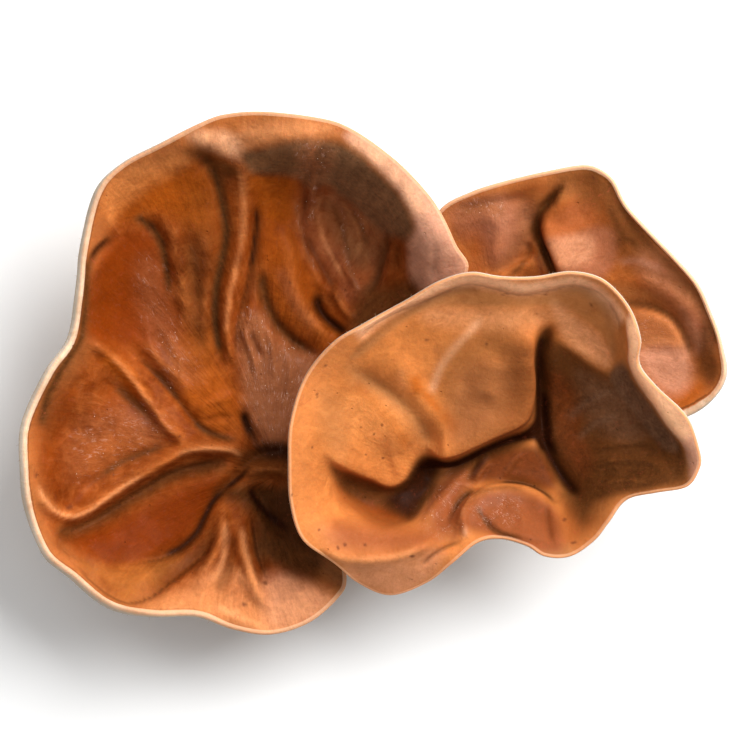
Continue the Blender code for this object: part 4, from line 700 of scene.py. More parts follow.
SPECK_DARK = (0.13, 0.035, 0.014)
OUTER_GREY = (0.40, 0.285, 0.205)
OUTER_TAN = (0.47, 0.27, 0.145)
OUTER_BROWN = (0.22, 0.105, 0.052)
BEAD_COLOURS = ((0.70, 0.36, 0.22), (0.90, 0.66, 0.50))
BARK_PALE = (0.21, 0.118, 0.062)
BARK_BROWN = (0.105, 0.052, 0.026)
BARK_CRACK = (0.035, 0.018, 0.011)
FLOOR_PALE = (0.92, 0.92, 0.915)
FLOOR_SHADE = (0.90, 0.90, 0.895)

# Noises of the flesh, as size of a spot in millimetres, detail, roughness and warp, and its streaks,
# as counts round it and from heart to rim, detail, roughness and warp.
CLOUDS = (9.0, 4.0, 0.6)
BLOTS = (3.2, 4.0, 0.62, 0.6)
GRAIN = (0.7, 3.0, 0.6)
RED_SPOTS = (1.5, 4.0, 0.7, 1.2)
FILM_CLUMPS = (2.2, 3.0, 0.6)
SKIN_GRAIN = (0.28, 2.0)
BROAD_STREAKS = ((9.0, 9.0, 3.0), 3.0, 0.6, 0.4)
FINE_STREAKS = ((34.0, 34.0, 9.0), 3.0, 0.6, 0.3)
FILM_STREAKS = ((75.0, 75.0, 40.0), 3.0, 0.7, 0.9)
OUTER_STREAKS = ((24.0, 24.0, 5.0), 4.0, 0.65)
PITS_APART = 3.6
FLESH_RELIEF = 0.0005

# Where each mask of the flesh begins and ends, and how strongly each layer covers what is under it.
# Noises run from 0 to 1, the painted highlight of crests, the painted shade of troughs and the lip's
# painted light are in millimetres, the rim and the painted shade of its groove are in widths of the
# band, and the sides run from -1 outside to 1 in the hollow.
FLESH_MASKS = {
    "tones": (0.3, 0.7), "blots": (0.35, 0.75), "broad streaks": (0.5, 0.75),
    "fine streaks": (0.55, 0.78), "crests": (0.4, 2.4), "troughs": (0.3, 2.2), "lip_light": (0.8, 9.0),
    "red spots": (0.56, 0.72), "film": (0.53, 0.68), "film clumps": (0.42, 0.62), "rim": (0.6, 1.1),
    "pits": (0.02, 0.07), "pitted": (0.5, 0.6), "outer streaks": (0.4, 0.75),
    "outer bead": (-0.98, -0.8), "outer side": (-0.9, -0.3), "hollow side": (-0.5, 0.5),
}
FLESH_SHARES = {
    "blots": 0.2, "broad streaks": 0.45, "fine streaks": 0.20, "troughs": 0.5, "crests": 0.25,
    "lip_light": 0.50, "crest": 0.14, "crease": 0.55, "red spots": 0.16, "film": 0.72, "rim groove shade": 0.7,
    "broad rim": 0.45, "pits": 0.4, "specks": 0.8, "outer streaks": 0.5,
}
RIM_GROOVE_SHADE_AT = (1.35, 0.5)

# How much blots, grain and fine streaks break up edges and tones, also of the colour layers, painted
# shade and highlights among them, and of the fold lines.
RAGGED = (0.6, 0.3, 0.6)
MOTTLED = (1.0, 0.7, 0.8)
LAYER_FULL = 1.1
LAYER_RAGGED = 2.6
LINE_RAGGED = 0.8

# Beads, hairs and the holdfast's finish, its lumps as height, size and pace of the noise upright.
BEAD_HEIGHT = 0.55
BEAD_LEAST = 0.35
CLUMPS_PER_METRE = 260.0
CLUMP_EDGE = (0.5, 0.68)
HAIR_SHARE = 0.045
HAIR_SIZES = (0.5, 1.2)
HAIR_LEAN = 0.7
HAIRY_SIDE = -0.9
PER_SQUARE_CM = 10000.0
HOLDFAST_FINISH = 6
HOLDFAST_LUMPS = ((0.9, 6.0, 1.0), (0.45, 2.2, 0.5), (0.22, 0.9, 0.4))
JOINT_GAP = 0.3

# The stage, in metres: the floor, the lights and the height where the picture has its scale.
FLOOR_SIZE = 60.0
FLOOR_DROP = -0.0002
KEY_PLACE = (0.42, 0.38, 0.60)
KEY_SIZE = 0.65
FILL_PLACE = (-0.35, 0.25, 1.1)
FILL_SIZE = 0.9
LIT_POINT = (0.0, 0.0, 0.02)
SENSOR_WIDTH = 36.0
SHARP_HEIGHT = 0.035
SEEN_FROM_TO = (0.1, 100.0)

# What colours the hollows, in the order in which it is laid on: the flesh's own tones, and layers of
# painted shade and painted highlights, as noted at each.
COLOUR_LAYERS = {
    "rust": (0.19, 0.028, 0.0010),
    "orange": (0.44, 0.093, 0.005),
    "rose": (0.40, 0.140, 0.068),
    "rosy": (0.66, 0.315, 0.195),
    # Pale flesh, and painted highlight on crests and lips.
    "cream": (0.74, 0.290, 0.108),
    # Painted highlight on the lit lips.
    "peach_highlight": (0.95, 0.50, 0.27),
    "gold": (0.98, 0.38, 0.11),
    # Painted shade in bands under the lips and in valleys.
    "olive_shade": (0.32, 0.155, 0.060),
    # Painted shadow under the overhanging lip.
    "arch_shadow": (0.205, 0.092, 0.040),
    "shade": (0.21, 0.080, 0.026),
    "frost": (0.31, 0.105, 0.040),
    "pool": (0.40, 0.120, 0.022),
    "lump": (0.25, 0.065, 0.019),
    # Darker flesh and painted shade in hollows, under lips and round the heart.
    "umber_and_shade": (0.100, 0.032, 0.0075),
    # Red-brown flesh and painted shade on walls turned from the light.
    "wine_and_shade": (0.155, 0.034, 0.007),
    # Grey-brown flesh and painted shade on walls turned from the light.
    "dusk_and_shade": (0.165, 0.078, 0.040),
    # Painted shade in slots, pockets and deep creases.
    "black_shade": (0.030, 0.007, 0.0018),
}


def soft(share):
    """From 0 to 1 with no corner at either end."""
    share = np.clip(share, 0, 1)
    return share * share * (3 - 2 * share)


def curve_through(points, steps, closed=False):
    """A smooth curve through the points, with so many steps between each two."""
    at = np.array(points, float)
    if closed:
        at = np.vstack([at[-1], at, at[:2]])
    else:
        at = np.vstack([2 * at[0] - at[1], at, 2 * at[-1] - at[-2]])
    share = (np.arange(steps) / steps)[:, None]
    pieces = []
    for before, start, end, after in zip(at[:-3], at[1:-2], at[2:-1], at[3:]):
        bend = 2 * before - 5 * start + 4 * end - after
        twist = 3 * start - before - 3 * end + after
        pieces.append(start + 0.5 * share * ((end - before) + share * (bend + share * twist)))
    if not closed:
        pieces.append(at[-2:-1])
    return np.vstack(pieces)


def rim_points(curve, heart, count):
    """So many points round a closed curve, closer together where it passes near the heart."""
    ring = np.vstack([curve, curve[:1]])
    step = np.linalg.norm(np.diff(ring, axis=0), axis=1)
    far = np.linalg.norm((ring[1:] + ring[:-1])[:, :2] / 2 - heart, axis=1)
    reach = np.concatenate([[0], np.cumsum(step / far ** NEAR_HEART)])
    wanted = np.arange(count) * reach[-1] / count
    return np.column_stack([np.interp(wanted, reach, ring[:, axis]) for axis in range(3)])


def bent_sheet(marks):
    """The height, as a function of x and y, of a thin sheet bent through the marks."""
    at = np.array(marks, float)
    places = at[:, :2]

    def pull(x, y):
        far = (x[..., None] - places[:, 0]) ** 2 + (y[..., None] - places[:, 1]) ** 2
        return 0.5 * far * np.log(far + TINY)

    count = len(at)
    flat = np.column_stack([np.ones(count), places])
    system = np.block([[pull(places[:, 0], places[:, 1]), flat], [flat.T, np.zeros((3, 3))]])
    weights = np.linalg.solve(system, np.concatenate([at[:, 2], np.zeros(3)]))
    bend, level = weights[:count], weights[count:]
    return lambda x, y: pull(x, y) @ bend + level[0] + level[1] * x + level[2] * y


class Line:
    """A smooth line on an ear, seen from above, and how points near it lie from its stretches."""

    def __init__(self, points, closed, reach, x, y):
        line = curve_through(points, ROUTE_STEPS, closed)
        low, high = line.min(axis=0) - reach, line.max(axis=0) + reach
        self.which = np.flatnonzero((x > low[0]) & (x < high[0]) & (y > low[1]) & (y < high[1]))
        start = line if closed else line[:-1]
        self.run = (np.roll(line, -1, axis=0) - line)[:len(start)]
        self.lengths = np.linalg.norm(self.run, axis=1)
        run_x, run_y = self.run.T
        self.from_x, self.from_y = x[self.which, None] - start[:, 0], y[self.which, None] - start[:, 1]
        ahead = (self.from_x * run_x + self.from_y * run_y) / self.lengths**2
        self.along = np.clip(ahead, 0, 1)
        self.off_x, self.off_y = self.from_x - self.along * run_x, self.from_y - self.along * run_y
        self.apart = np.hypot(self.off_x, self.off_y)


class Route(Line):
    """An open line with a width on its left and another on its right, faded over its two ends."""

    def __init__(self, points, left, right, end, x, y):
        super().__init__(points, False, FOLD_REACH * max(left, right), x, y)
        nearest = self.apart.min(axis=1)[:, None]
        near = np.exp((nearest - self.apart) / (NEAR_MIX * nearest + NEAR_LEAST))
        near /= near.sum(axis=1)[:, None]
        run_x, run_y = self.run.T
        share = (near * (np.arange(len(self.run)) + self.along) / len(self.run)).sum(axis=1)
        side = (near * np.sign(run_x * self.off_y - run_y * self.off_x)).sum(axis=1)
        taper = min(FOLD_TAPER, end / self.lengths.sum())
        self.ends = soft(np.minimum(share, 1 - share) / taper)
        self.width = (left + right) / 2 + (left - right) / 2 * side
        self.far = (near * self.apart).sum(axis=1)
        self.right = near @ np.column_stack([run_y / self.lengths, -run_x / self.lengths])


class Patch(Line):
    """The inside of a closed line, with a soft edge."""

    def __init__(self, points, edge, x, y):
        super().__init__(points, True, edge, x, y)
        run_x, run_y = self.run.T
        passes = (self.from_y < 0) != (self.from_y < run_y)
        ahead = (self.from_x * run_y < self.from_y * run_x) == (run_y > 0)
        inside = (passes & ahead).sum(axis=1) % 2
        self.cover = soft(0.5 + (inside - 0.5) * self.apart.min(axis=1) / edge)


def fold_push(folds, x, y, behind=False):
    """How far the folds lift the sheet at each point and push it sideways, and their lines.

    A fold leans over its steep side. Behind, on the underside, a ridge is a shallower hollow and a
    valley is a wider swelling. The lines are 1 along a ridge's crest or a valley's crease, where the
    flesh gets a painted highlight on a crest and painted shade in a crease.
    """
    lift, crest, crease = (np.zeros_like(x) for _ in range(3))
    shift = np.zeros((len(x), 2))
    for height, left, right, points in folds:
        if behind and height > 0:
            height *= RIDGE_BEHIND
        elif behind:
            left, right = left + VALLEY_BEHIND, right + VALLEY_BEHIND
        route = Route(points, left, right, FOLD_END, x, y)
        far = np.hypot(route.far, FOLD_BLUNT) - FOLD_BLUNT
        far = far / route.width
        push = route.ends * np.exp(-(far ** (CREST_SHARP if height > 0 else CREASE_SHARP)))
        lift[route.which] += height * push
        lines = crest if height > 0 else crease
        mark = route.ends * min(1, abs(height) / LINE_FULL) * np.exp(-((far / LINE_SHARE) ** 2))
        if height < 0:
            narrow, wide = LINE_WIDTHS
            mark = mark * np.clip((wide - route.width) / (wide - narrow), 0, 1)
        lines[route.which] = 1 - (1 - lines[route.which]) * (1 - mark)
        if height > 0:
            lean = FOLD_LEAN * height * (left - right) / max(left, right)
            shift[route.which] += lean * push[:, None] * route.right
    return lift, shift, crest, crease


def fold_way(way):
    """The direction in which folds rise: nearer to upright than the sheet's own."""
    tilted = way + (0, 0, PUSH_UP)
    return tilted / np.linalg.norm(tilted, axis=1)[:, None]


def layer_cover(design, colour_layer, x, y):
    """How strongly one colour layer covers each point, from 0 to 1. Some layers are stains, others painted
    shade or painted highlights.
    """
    bare = np.ones_like(x)
    for name, strength, edge, points in design["patches"]:
        if name == colour_layer:
            patch = Patch(points, edge, x, y)
            bare[patch.which] *= 1 - strength * patch.cover
    for name, strength, left, right, points in design["tints"]:
        if name == colour_layer:
            route = Route(points, left, right, TINT_END, x, y)
            cover = route.ends * np.exp(-((route.far / route.width) ** LAYER_SHARP))
            bare[route.which] *= 1 - strength * cover
    return 1 - bare


def speck_cover(specks, x, y):
    """How dark the specks make each point, from 0 to 1."""
    bare = np.ones_like(x)
    for at_x, at_y, half_length, half_width, turn in specks:
        cosine, sine = math.cos(math.radians(turn)), math.sin(math.radians(turn))
        along = ((x - at_x) * cosine + (y - at_y) * sine) / half_length
        across = ((y - at_y) * cosine - (x - at_x) * sine) / half_width
        bare *= 1 - np.exp(-((along**2 + across**2) ** 2))
    return 1 - bare


class Ear:
    """The form of one ear, as places on its two skins for each ring and spoke."""

    def __init__(self, design, around, flesh):
        rim = curve_through(design["rim"], ROUTE_STEPS * 2, closed=True)
        start = np.arctan2(rim[:, 1] - design["heart"][1], rim[:, 0] - design["heart"][0])
        rim = np.roll(rim, -int(np.argmin(np.abs(start))), axis=0)
        self.around = around
        self.flesh = flesh
        self.heart = np.array(design["heart"])
        self.rim = rim_points(rim, self.heart, around)
        self.folds, self.lined = design["folds"], design["lined"]
        self.sheet = bent_sheet(list(design["rim"][::2]) + design["hollow"])
        self.joint, self.joint_way, self.joint_radius = design["joint"]
        run = np.roll(self.rim, -1, axis=0)[:, :2] - np.roll(self.rim, 1, axis=0)[:, :2]
        run /= np.linalg.norm(run, axis=1)[:, None]
        self.out = np.column_stack([run[:, 1], -run[:, 0]])
        marks = np.array(design["band"])
        near = ((self.rim[:, None, :2] - marks[:, :2]) ** 2).sum(axis=2) ** -BAND_PULL
        self.band, self.rim_flesh = (near @ marks[:, 2:] / near.sum(axis=1)[:, None]).T
        self.edge = self.rim[:, :2] - (RIM_MARGIN + self.rim_flesh[:, None] / 2) * self.out

    def flat(self, ring, spoke):
        """Where a point lies, seen from above.

        Each ring is the rim with its waves faded, so the rings turn round towards the heart.
        """
        waves = np.fft.fft(self.edge @ (1, 1j))
        count = np.abs(np.fft.fftfreq(self.around, 1 / self.around)) ** WAVE_FADE
        rings, which = np.unique(ring, return_inverse=True)
        round_rings = np.fft.ifft(waves * rings[:, None] ** count, axis=1)
        middle = waves[0] / self.around
        round_rings += (self.heart @ (1, 1j) - middle) * ((1 - rings) ** HEART_PULL)[:, None]
        place = round_rings[which, spoke]
        return np.column_stack([place.real, place.imag])

    def bed(self, ring, spoke):
        """The smooth sheet's place at each point, and the direction square to it."""
        place = self.flat(ring, spoke)
        x, y = place[:, 0], place[:, 1]
        step = SLOPE_STEP
        slope_x = (self.sheet(x + step, y) - self.sheet(x - step, y)) / (2 * step)
        slope_y = (self.sheet(x, y + step) - self.sheet(x, y - step)) / (2 * step)
        way = np.column_stack([-slope_x, -slope_y, np.ones_like(x)])
        way /= np.linalg.norm(way, axis=1)[:, None]
        return np.column_stack([x, y, self.sheet(x, y)]), way

    def wrinkles(self, ring, spoke, bed):
        """Small relief of the upper skin: wrinkles that run to the heart, and low lumps."""
        turn = spoke * math.tau / self.around
        relief = np.zeros(len(ring))
        for index, (height, count, rings) in enumerate(WRINKLES):
            size = count / math.tau * 2
            for at in range(len(ring)):
                relief[at] += height * noise.noise((
                    math.cos(turn[at]) * size, math.sin(turn[at]) * size,
                    ring[at] * rings + index * LAYER_STEP,
                ))
        relief *= soft(ring / WRINKLES_FROM)
        for index, (height, size) in enumerate(LUMPS):
            for at in range(len(ring)):
                spot = bed[at] / size
                relief[at] += height * noise.noise((spot[0], spot[1], spot[2] + index * LAYER_STEP))
        return relief * self.lined * soft((1 - ring) / RELIEF_FADE)

    def upper(self, ring, spoke):
        """The hollow side, the smooth sheet under it, and the lift and lines of its folds."""
        bed, way = self.bed(ring, spoke)
        lift, shift, crest, crease = fold_push(self.folds, bed[:, 0], bed[:, 1])
        place = bed + way * self.wrinkles(ring, spoke, bed)[:, None] + fold_way(way) * lift[:, None]
        place[:, :2] += shift
        return place, bed, {"lift": lift, "crest": crest, "crease": crease}

    def lower(self, ring, spoke):
        """The outer side, drawn down in a funnel to the joint on the holdfast."""
        bed, way = self.bed(ring, spoke)
        lift, shift, _crest, _crease = fold_push(self.folds, bed[:, 0], bed[:, 1], behind=True)
        near_heart = soft(1 - ring / HEART_RINGS)
        near_rim = soft((ring - RIM_RINGS) / (1 - RIM_RINGS))
        flesh = self.flesh + (HEART_FLESH - self.flesh) * near_heart
        flesh += (self.rim_flesh[spoke] - self.flesh) * near_rim
        place = bed - way * flesh[:, None] + fold_way(way) * lift[:, None]
        place[:, :2] += shift * RIDGE_BEHIND
        return self.with_neck(place, ring, spoke)

    def with_neck(self, lower, ring, spoke):
        """The outer side drawn down to a flat disc, which is sunk into the holdfast."""
        way = Vector(self.joint_way).normalized()
        side = way.cross(Vector((0, 0, 1))).normalized()
        up = side.cross(way)
        turn = spoke * math.tau / self.around
        across = np.column_stack([np.cos(turn), np.sin(turn)])
        flat_side, flat_up = np.array(side), np.array(up)
        reach = self.joint_radius * JOINT_WIDER * np.clip(ring / JOINT_RINGS, 0, 1)[:, None]
        along_side = (across @ flat_side[:2] / np.linalg.norm(flat_side[:2]))[:, None]
        along_up = (across @ flat_up[:2] / np.linalg.norm(flat_up[:2]))[:, None]
        disc = np.array(self.joint) - JOINT_SUNK * np.array(way)
        disc = disc + reach * (along_side * flat_side + along_up * flat_up)
        share = np.clip((ring - JOINT_RINGS) / (NECK_RINGS - JOINT_RINGS), 0, 1)[:, None]
        return lower + (disc - lower) * (1 - share) ** NECK_FLARE


def grid(rings, around):
    """The ring and spoke of each point, from the middle to so many rings, each with so many spokes."""
    ring = np.repeat(np.arange(1, rings + 1) / rings, around)
    spoke = np.tile(np.arange(around), rings)
    return np.concatenate([[0.0], ring]), np.concatenate([[0], spoke])


def inward(grid_values):
    """The same grid from its outermost ring to the middle, with each ring's spokes in order."""
    ring, spoke = grid_values
    order = np.lexsort((spoke, -ring))
    return ring[order], spoke[order]


def skin_faces(rows, around):
    """Faces of a closed skin whose rows of points run from one pole to the other."""
    now = np.arange(around)
    then = (now + 1) % around
    first, last = 1, 1 + (rows - 1) * around
    here = first + np.arange(rows - 1)[:, None] * around
    there = here + around
    quads = np.stack([here + now, there + now, there + then, here + then], axis=2).reshape(-1, 4)
    start = np.column_stack([np.zeros(around, int), first + now, first + then])
    end = np.column_stack([last + now, np.full(around, last + around), last + then])
    return quads.tolist() + start.tolist() + end.tolist()


def from_rim(places, rim):
    """How far each place is from the nearest point of the rim, and which point that is."""
    tree = kdtree.KDTree(len(rim))
    for index, place in enumerate(rim):
        tree.insert(place, index)
    tree.balance()
    found = [tree.find(place) for place in places]
    return np.array([far for _place, _index, far in found]), [index for _place, index, _far in found]


def ear_mesh(design, flesh):
    """One ear as a closed mesh in metres, with the values its material needs at each point."""
    around, top_rings, under_rings = design["finish"]
    ear = Ear(design, around, flesh)
    top_ring, top_spoke = grid(top_rings, around)
    under_ring, under_spoke = inward(grid(under_rings, around))
    top, bed, lines = ear.upper(top_ring, top_spoke)
    under = ear.lower(under_ring, under_spoke)

    edge_up, edge_down = top[-around:], under[:around]
    middle, half = (edge_up + edge_down) / 2, (edge_up - edge_down) / 2
    square = half / np.linalg.norm(half, axis=1)[:, None]
    out = np.column_stack([ear.out, np.zeros(around)])
    out -= square * (out * square).sum(axis=1)[:, None]
    out *= ear.rim_flesh[:, None] / 2
    rims = np.vstack([
        middle + half * side + out * (1 - abs(side) ** RIM_SQUARE) ** (1 / RIM_SQUARE)
        for side in RIM_SIDES
    ])

    inside, nearest = from_rim(top, edge_up)
    band = ear.band[nearest]
    depth, where, width = GROOVE
    top[:, 2] -= depth * band * np.exp(-(((inside / band - where) / width) ** 2))

    elsewhere = np.zeros(len(rims) + len(under))
    values = {
        "side": [np.ones(len(top)), np.repeat(RIM_SIDES, around), np.full(len(under), -1.0)],
        "inside": [inside, np.zeros(len(rims)), from_rim(under, edge_down)[0]],
        "edge": [inside / band, np.zeros(len(rims)), np.full(len(under), FAR_EDGE)],
        "band": [band, np.tile(ear.band, len(RIM_SIDES)), np.full(len(under), RIM_BANDS[0])],
        "specks": [speck_cover(design["specks"], bed[:, 0], bed[:, 1]), elsewhere],
    }
    for name, strength in lines.items():
        values[name] = [strength, elsewhere]
    for colour_layer in COLOUR_LAYERS:
        values[colour_layer] = [layer_cover(design, colour_layer, bed[:, 0], bed[:, 1]), elsewhere]

    rows = top_rings + len(RIM_SIDES) + under_rings
    mesh = bpy.data.meshes.new(design["node"])
    mesh.from_pydata((np.vstack([top, rims, under]) * MM).tolist(), [], skin_faces(rows, around))
    for name, parts in values.items():
        layer = mesh.attributes.new(name, "FLOAT", "POINT")
        layer.data.foreach_set("value", np.concatenate(parts).astype(np.float32))
    ring = np.concatenate([top_ring, np.ones(len(rims)), under_ring])
    spoke = np.concatenate([top_spoke, np.tile(np.arange(around), len(RIM_SIDES)), under_spoke])
    turn = spoke * math.tau / around
    grow = np.column_stack([np.cos(turn), np.sin(turn), ring]).astype(np.float32)
    mesh.attributes.new("grow", "FLOAT_VECTOR", "POINT").data.foreach_set("vector", grow.ravel())
    mesh.shade_smooth()
    return mesh


def fill(tree, plug, value):
    """Links a socket to a node's plug, or sets the plug's own value."""
    value = value.plug if isinstance(value, Socket) else value
    if isinstance(value, bpy.types.NodeSocket):
        tree.links.new(value, plug)
    elif isinstance(value, tuple) and plug.type == "RGBA":
        plug.default_value = (*value, 1)
    else:
        plug.default_value = value


def new_node(tree, kind, settings, inputs):
    """A new node from its type, its settings and the values or links of its inputs."""
    node = tree.nodes.new(kind)
    for name, value in settings.items():
        setattr(node, name, value)
    for name, value in inputs.items():
        fill(tree, node.inputs[name], value)
    return node


class Socket:
    """A material's number or colour, which can be used in sums like a plain number."""

    def __init__(self, nodes, plug):
        self.nodes, self.plug = nodes, plug

    def sum_with(self, kind, first, second):
        return self.nodes.add("ShaderNodeMath", {"operation": kind}, {0: first, 1: second})

    def __add__(self, other):
        return self.sum_with("ADD", self, other)

    def __radd__(self, other):
        return self.sum_with("ADD", other, self)

    def __sub__(self, other):
        return self.sum_with("SUBTRACT", self, other)

    def __rsub__(self, other):
        return self.sum_with("SUBTRACT", other, self)

    def __mul__(self, other):
        return self.sum_with("MULTIPLY", self, other)

    def __rmul__(self, other):
        return self.sum_with("MULTIPLY", other, self)

    def clipped(self):
        return self.nodes.add("ShaderNodeClamp", {}, {"Value": self})

    def between(self, low, high):
        """From 0 at the low value to 1 at the high one, with no corner."""
        return self.nodes.add(
            "ShaderNodeMapRange", {"interpolation_type": "SMOOTHSTEP"},
            {"Value": self, "From Min": low, "From Max": high},
        )

    def near(self, where, width):
        """1 at the value, falling to 0 at so much to either side."""
        off = self.nodes.add("ShaderNodeMath", {"operation": "ABSOLUTE"}, {0: self - where})
        return 1 - off.between(0, width)


class Nodes:
    """The nodes of one new material."""

    def __init__(self, name):
        self.material = bpy.data.materials.new(name)
        self.material.use_nodes = True
        self.tree = self.material.node_tree
        self.shader = self.tree.nodes["Principled BSDF"]

    def add(self, kind, settings, inputs, output=0):
        """One output of a new node, for use in sums."""
        return Socket(self, new_node(self.tree, kind, settings, inputs).outputs[output])

    def set(self, **inputs):
        """Fills the shader's inputs, named with _ for each space."""
        for name, value in inputs.items():
            fill(self.tree, self.shader.inputs[name.replace("_", " ")], value)

    def place(self):
        """The place on the piece in millimetres."""
        at = self.add("ShaderNodeTexCoord", {}, {}, "Object")
        return self.add("ShaderNodeVectorMath", {"operation": "SCALE"}, {0: at, "Scale": 1 / MM})

    def value(self, name):
        """A value that the piece's mesh holds at each point."""
        return self.add("ShaderNodeAttribute", {"attribute_name": name}, {}, "Fac")

    def way(self, name):
        """A vector that the piece's mesh holds at each point."""
        return self.add("ShaderNodeAttribute", {"attribute_name": name}, {}, "Vector")

    def noise(self, at, size, detail=3.0, rough=0.55, warp=0.0):
        """Cloudy noise, from 0 to 1, with spots of about the size."""
        inputs = {"Vector": at, "Scale": 1 / size, "Detail": detail, "Roughness": rough}
        inputs["Distortion"] = warp
        return self.add("ShaderNodeTexNoise", {}, inputs, "Fac")

    def cells(self, at, size, feature="F1"):
        """How far each place is from the nearest of points strewn about a size apart."""
        inputs = {"Vector": at, "Scale": 1 / size}
        return self.add("ShaderNodeTexVoronoi", {"feature": feature}, inputs, "Distance")

    def squeezed(self, at, by):
        """The place with each axis multiplied, for streaks."""
        return self.add("ShaderNodeVectorMath", {"operation": "MULTIPLY"}, {0: at, 1: by})

    def streaks(self, grow, counts, detail=3.0, rough=0.55, warp=0.0):
        """Noise drawn out along the growth, with so many spots round it and from heart to rim."""
        return self.noise(self.squeezed(grow, counts), 1.0, detail, rough, warp)

    def mix(self, share, under, over):
        """One colour laid over another by a share."""
        return self.add("ShaderNodeMix", {"data_type": "RGBA"}, {0: share, 6: under, 7: over}, 2)

    def toned(self, colour, by):
        """A colour made lighter or darker."""
        return self.add("ShaderNodeVectorMath", {"operation": "SCALE"}, {0: colour, "Scale": by})

    def bump(self, height, far):
        """The surface's direction over a small relief, so many metres at height 1."""
        return self.add("ShaderNodeBump", {}, {"Height": height, "Distance": far, "Strength": 1.0})


def flesh_material(name, design, settings):
    """The gelatinous flesh: orange brown in the hollow with painted shade and highlights, cream at the
    rim, downy tan outside.
    """
    pale, lined, edged = design["pale"], design["lined"], design["edged"]
    nodes, mask, share = Nodes(name), FLESH_MASKS, FLESH_SHARES
    at, grow = nodes.place(), nodes.way("grow")
    clouds, blots, grain = (nodes.noise(at, *kind) for kind in (CLOUDS, BLOTS, GRAIN))
    broad, fine = nodes.streaks(grow, *BROAD_STREAKS), nodes.streaks(grow, *FINE_STREAKS)
    lift, inside, side = nodes.value("lift"), nodes.value("inside"), nodes.value("side")
    frost = nodes.value("frost")

    def ravelled(of_blots, of_grain, of_fine):
        """Small shifts to either side of 0, for broken edges and mottled tones."""
        return (blots - 0.5) * of_blots + (grain - 0.5) * of_grain + (fine - 0.5) * (of_fine * lined)

    colour = nodes.mix(clouds.between(*mask["tones"]), tuple(settings.deep), tuple(settings.hollow))
    paler = blots.between(*mask["blots"]) * share["blots"] + pale
    colour = nodes.mix(paler.clipped(), colour, FLESH_PALE)
    streak = broad.between(*mask["broad streaks"]) * (share["broad streaks"] * lined)
    colour = nodes.mix(streak, colour, tuple(settings.deep))
    streak = fine.between(*mask["fine streaks"]) * (share["fine streaks"] * lined)
    colour = nodes.mix(streak, colour, STREAK_PALE)
    ragged = ravelled(*RAGGED)
    # Painted shade in the fold troughs and painted highlight on the crests, set by how far the folds lift.
    high = (lift + ragged * 0.8).between(*mask["crests"])
    low = (ragged * 0.6 - lift).between(*mask["troughs"])
    colour = nodes.mix(low * share["troughs"], colour, TROUGH_SHADE)
    colour = nodes.mix(high * share["crests"], colour, CREST_HIGHLIGHT)
    # Painted light: the hollow is lighter near the rim and darker deeper in, where less light reaches.
    lip_light = 1 - (inside + ragged * LAYER_RAGGED).between(*mask["lip_light"])
    colour = nodes.mix(lip_light * share["lip_light"], colour, LIP_LIGHT)
    # The colour layers, among them painted shade under lips, in slots and on walls turned from the light,
    # and painted highlights on lips and crests.
    for colour_layer, paint in COLOUR_LAYERS.items():
        strength = nodes.value(colour_layer)
        edge = strength * (1 - strength) * ragged * LAYER_RAGGED
        colour = nodes.mix((strength * LAYER_FULL + edge).clipped(), colour, paint)

    # Painted highlight along the fold crests and painted shade along the creases.
    for line, paint in (("crest", CREST_HIGHLIGHT), ("crease", CREASE_SHADE)):
        cover = nodes.value(line) * (share[line] + ragged * LINE_RAGGED)
        colour = nodes.mix(cover.clipped(), colour, paint)
    red = nodes.noise(at, *RED_SPOTS).between(*mask["red spots"])
    colour = nodes.mix(red * (share["red spots"] + lip_light * 0.2), colour, SPECK_RED)
    # The mottle is stronger where the umber, the arch's painted shadow and the painted shade lie.
    deep = (nodes.value("umber_and_shade") + nodes.value("arch_shadow") + nodes.value("shade") * 0.5).clipped()
    colour = nodes.toned(colour, 1 + ravelled(*MOTTLED) * (0.45 + deep * 0.9))
    film = nodes.streaks(grow, *FILM_STREAKS).between(*mask["film"])
    clump = nodes.noise(at, *FILM_CLUMPS).between(*mask["film clumps"])
    film = film * clump * (frost * 1.3 + 0.03).clipped()
    colour = nodes.mix(film * share["film"], colour, FILM_PALE)

    edge, broad_rim = nodes.value("edge"), nodes.value("band").between(*RIM_BANDS)
    # Painted shade: a dark line in the groove just inside the rim.
    line = (edge + (grain - 0.5) * 0.5).near(*RIM_GROOVE_SHADE_AT)
    colour = nodes.mix(line * (broad_rim * share["rim groove shade"]), colour, RIM_GROOVE_SHADE)
    rim = 1 - (edge + (grain - 0.5) * 0.45).between(*mask["rim"])
    cream = nodes.mix(blots.between(*mask["tones"]), tuple(settings.rim), RIM_TAN)
    paint = nodes.mix(broad_rim, RIM_PLAIN, cream)
    colour = nodes.mix(rim * (edged + broad_rim * share["broad rim"]), colour, paint)
    pit = 1 - nodes.cells(at, PITS_APART).between(*mask["pits"])
    colour = nodes.mix(pit * grain.between(*mask["pitted"]) * share["pits"], colour, SPECK_DARK)
    colour = nodes.mix(nodes.value("specks") * share["specks"], colour, SPECK_DARK)

    streak = nodes.streaks(grow, *OUTER_STREAKS).between(*mask["outer streaks"])
    outer = nodes.mix(clouds.between(*mask["tones"]), OUTER_GREY, tuple(settings.outside))
    outer = nodes.mix(streak * share["outer streaks"], outer, OUTER_BROWN)
    outer = nodes.mix(side.between(*mask["outer bead"]), outer, RIM_GREY)
    under = (side + ragged * 0.3).between(broad_rim * 0.45 - 0.5, broad_rim * 0.6 + 0.2)
    colour = nodes.mix(1 - under, colour, outer)

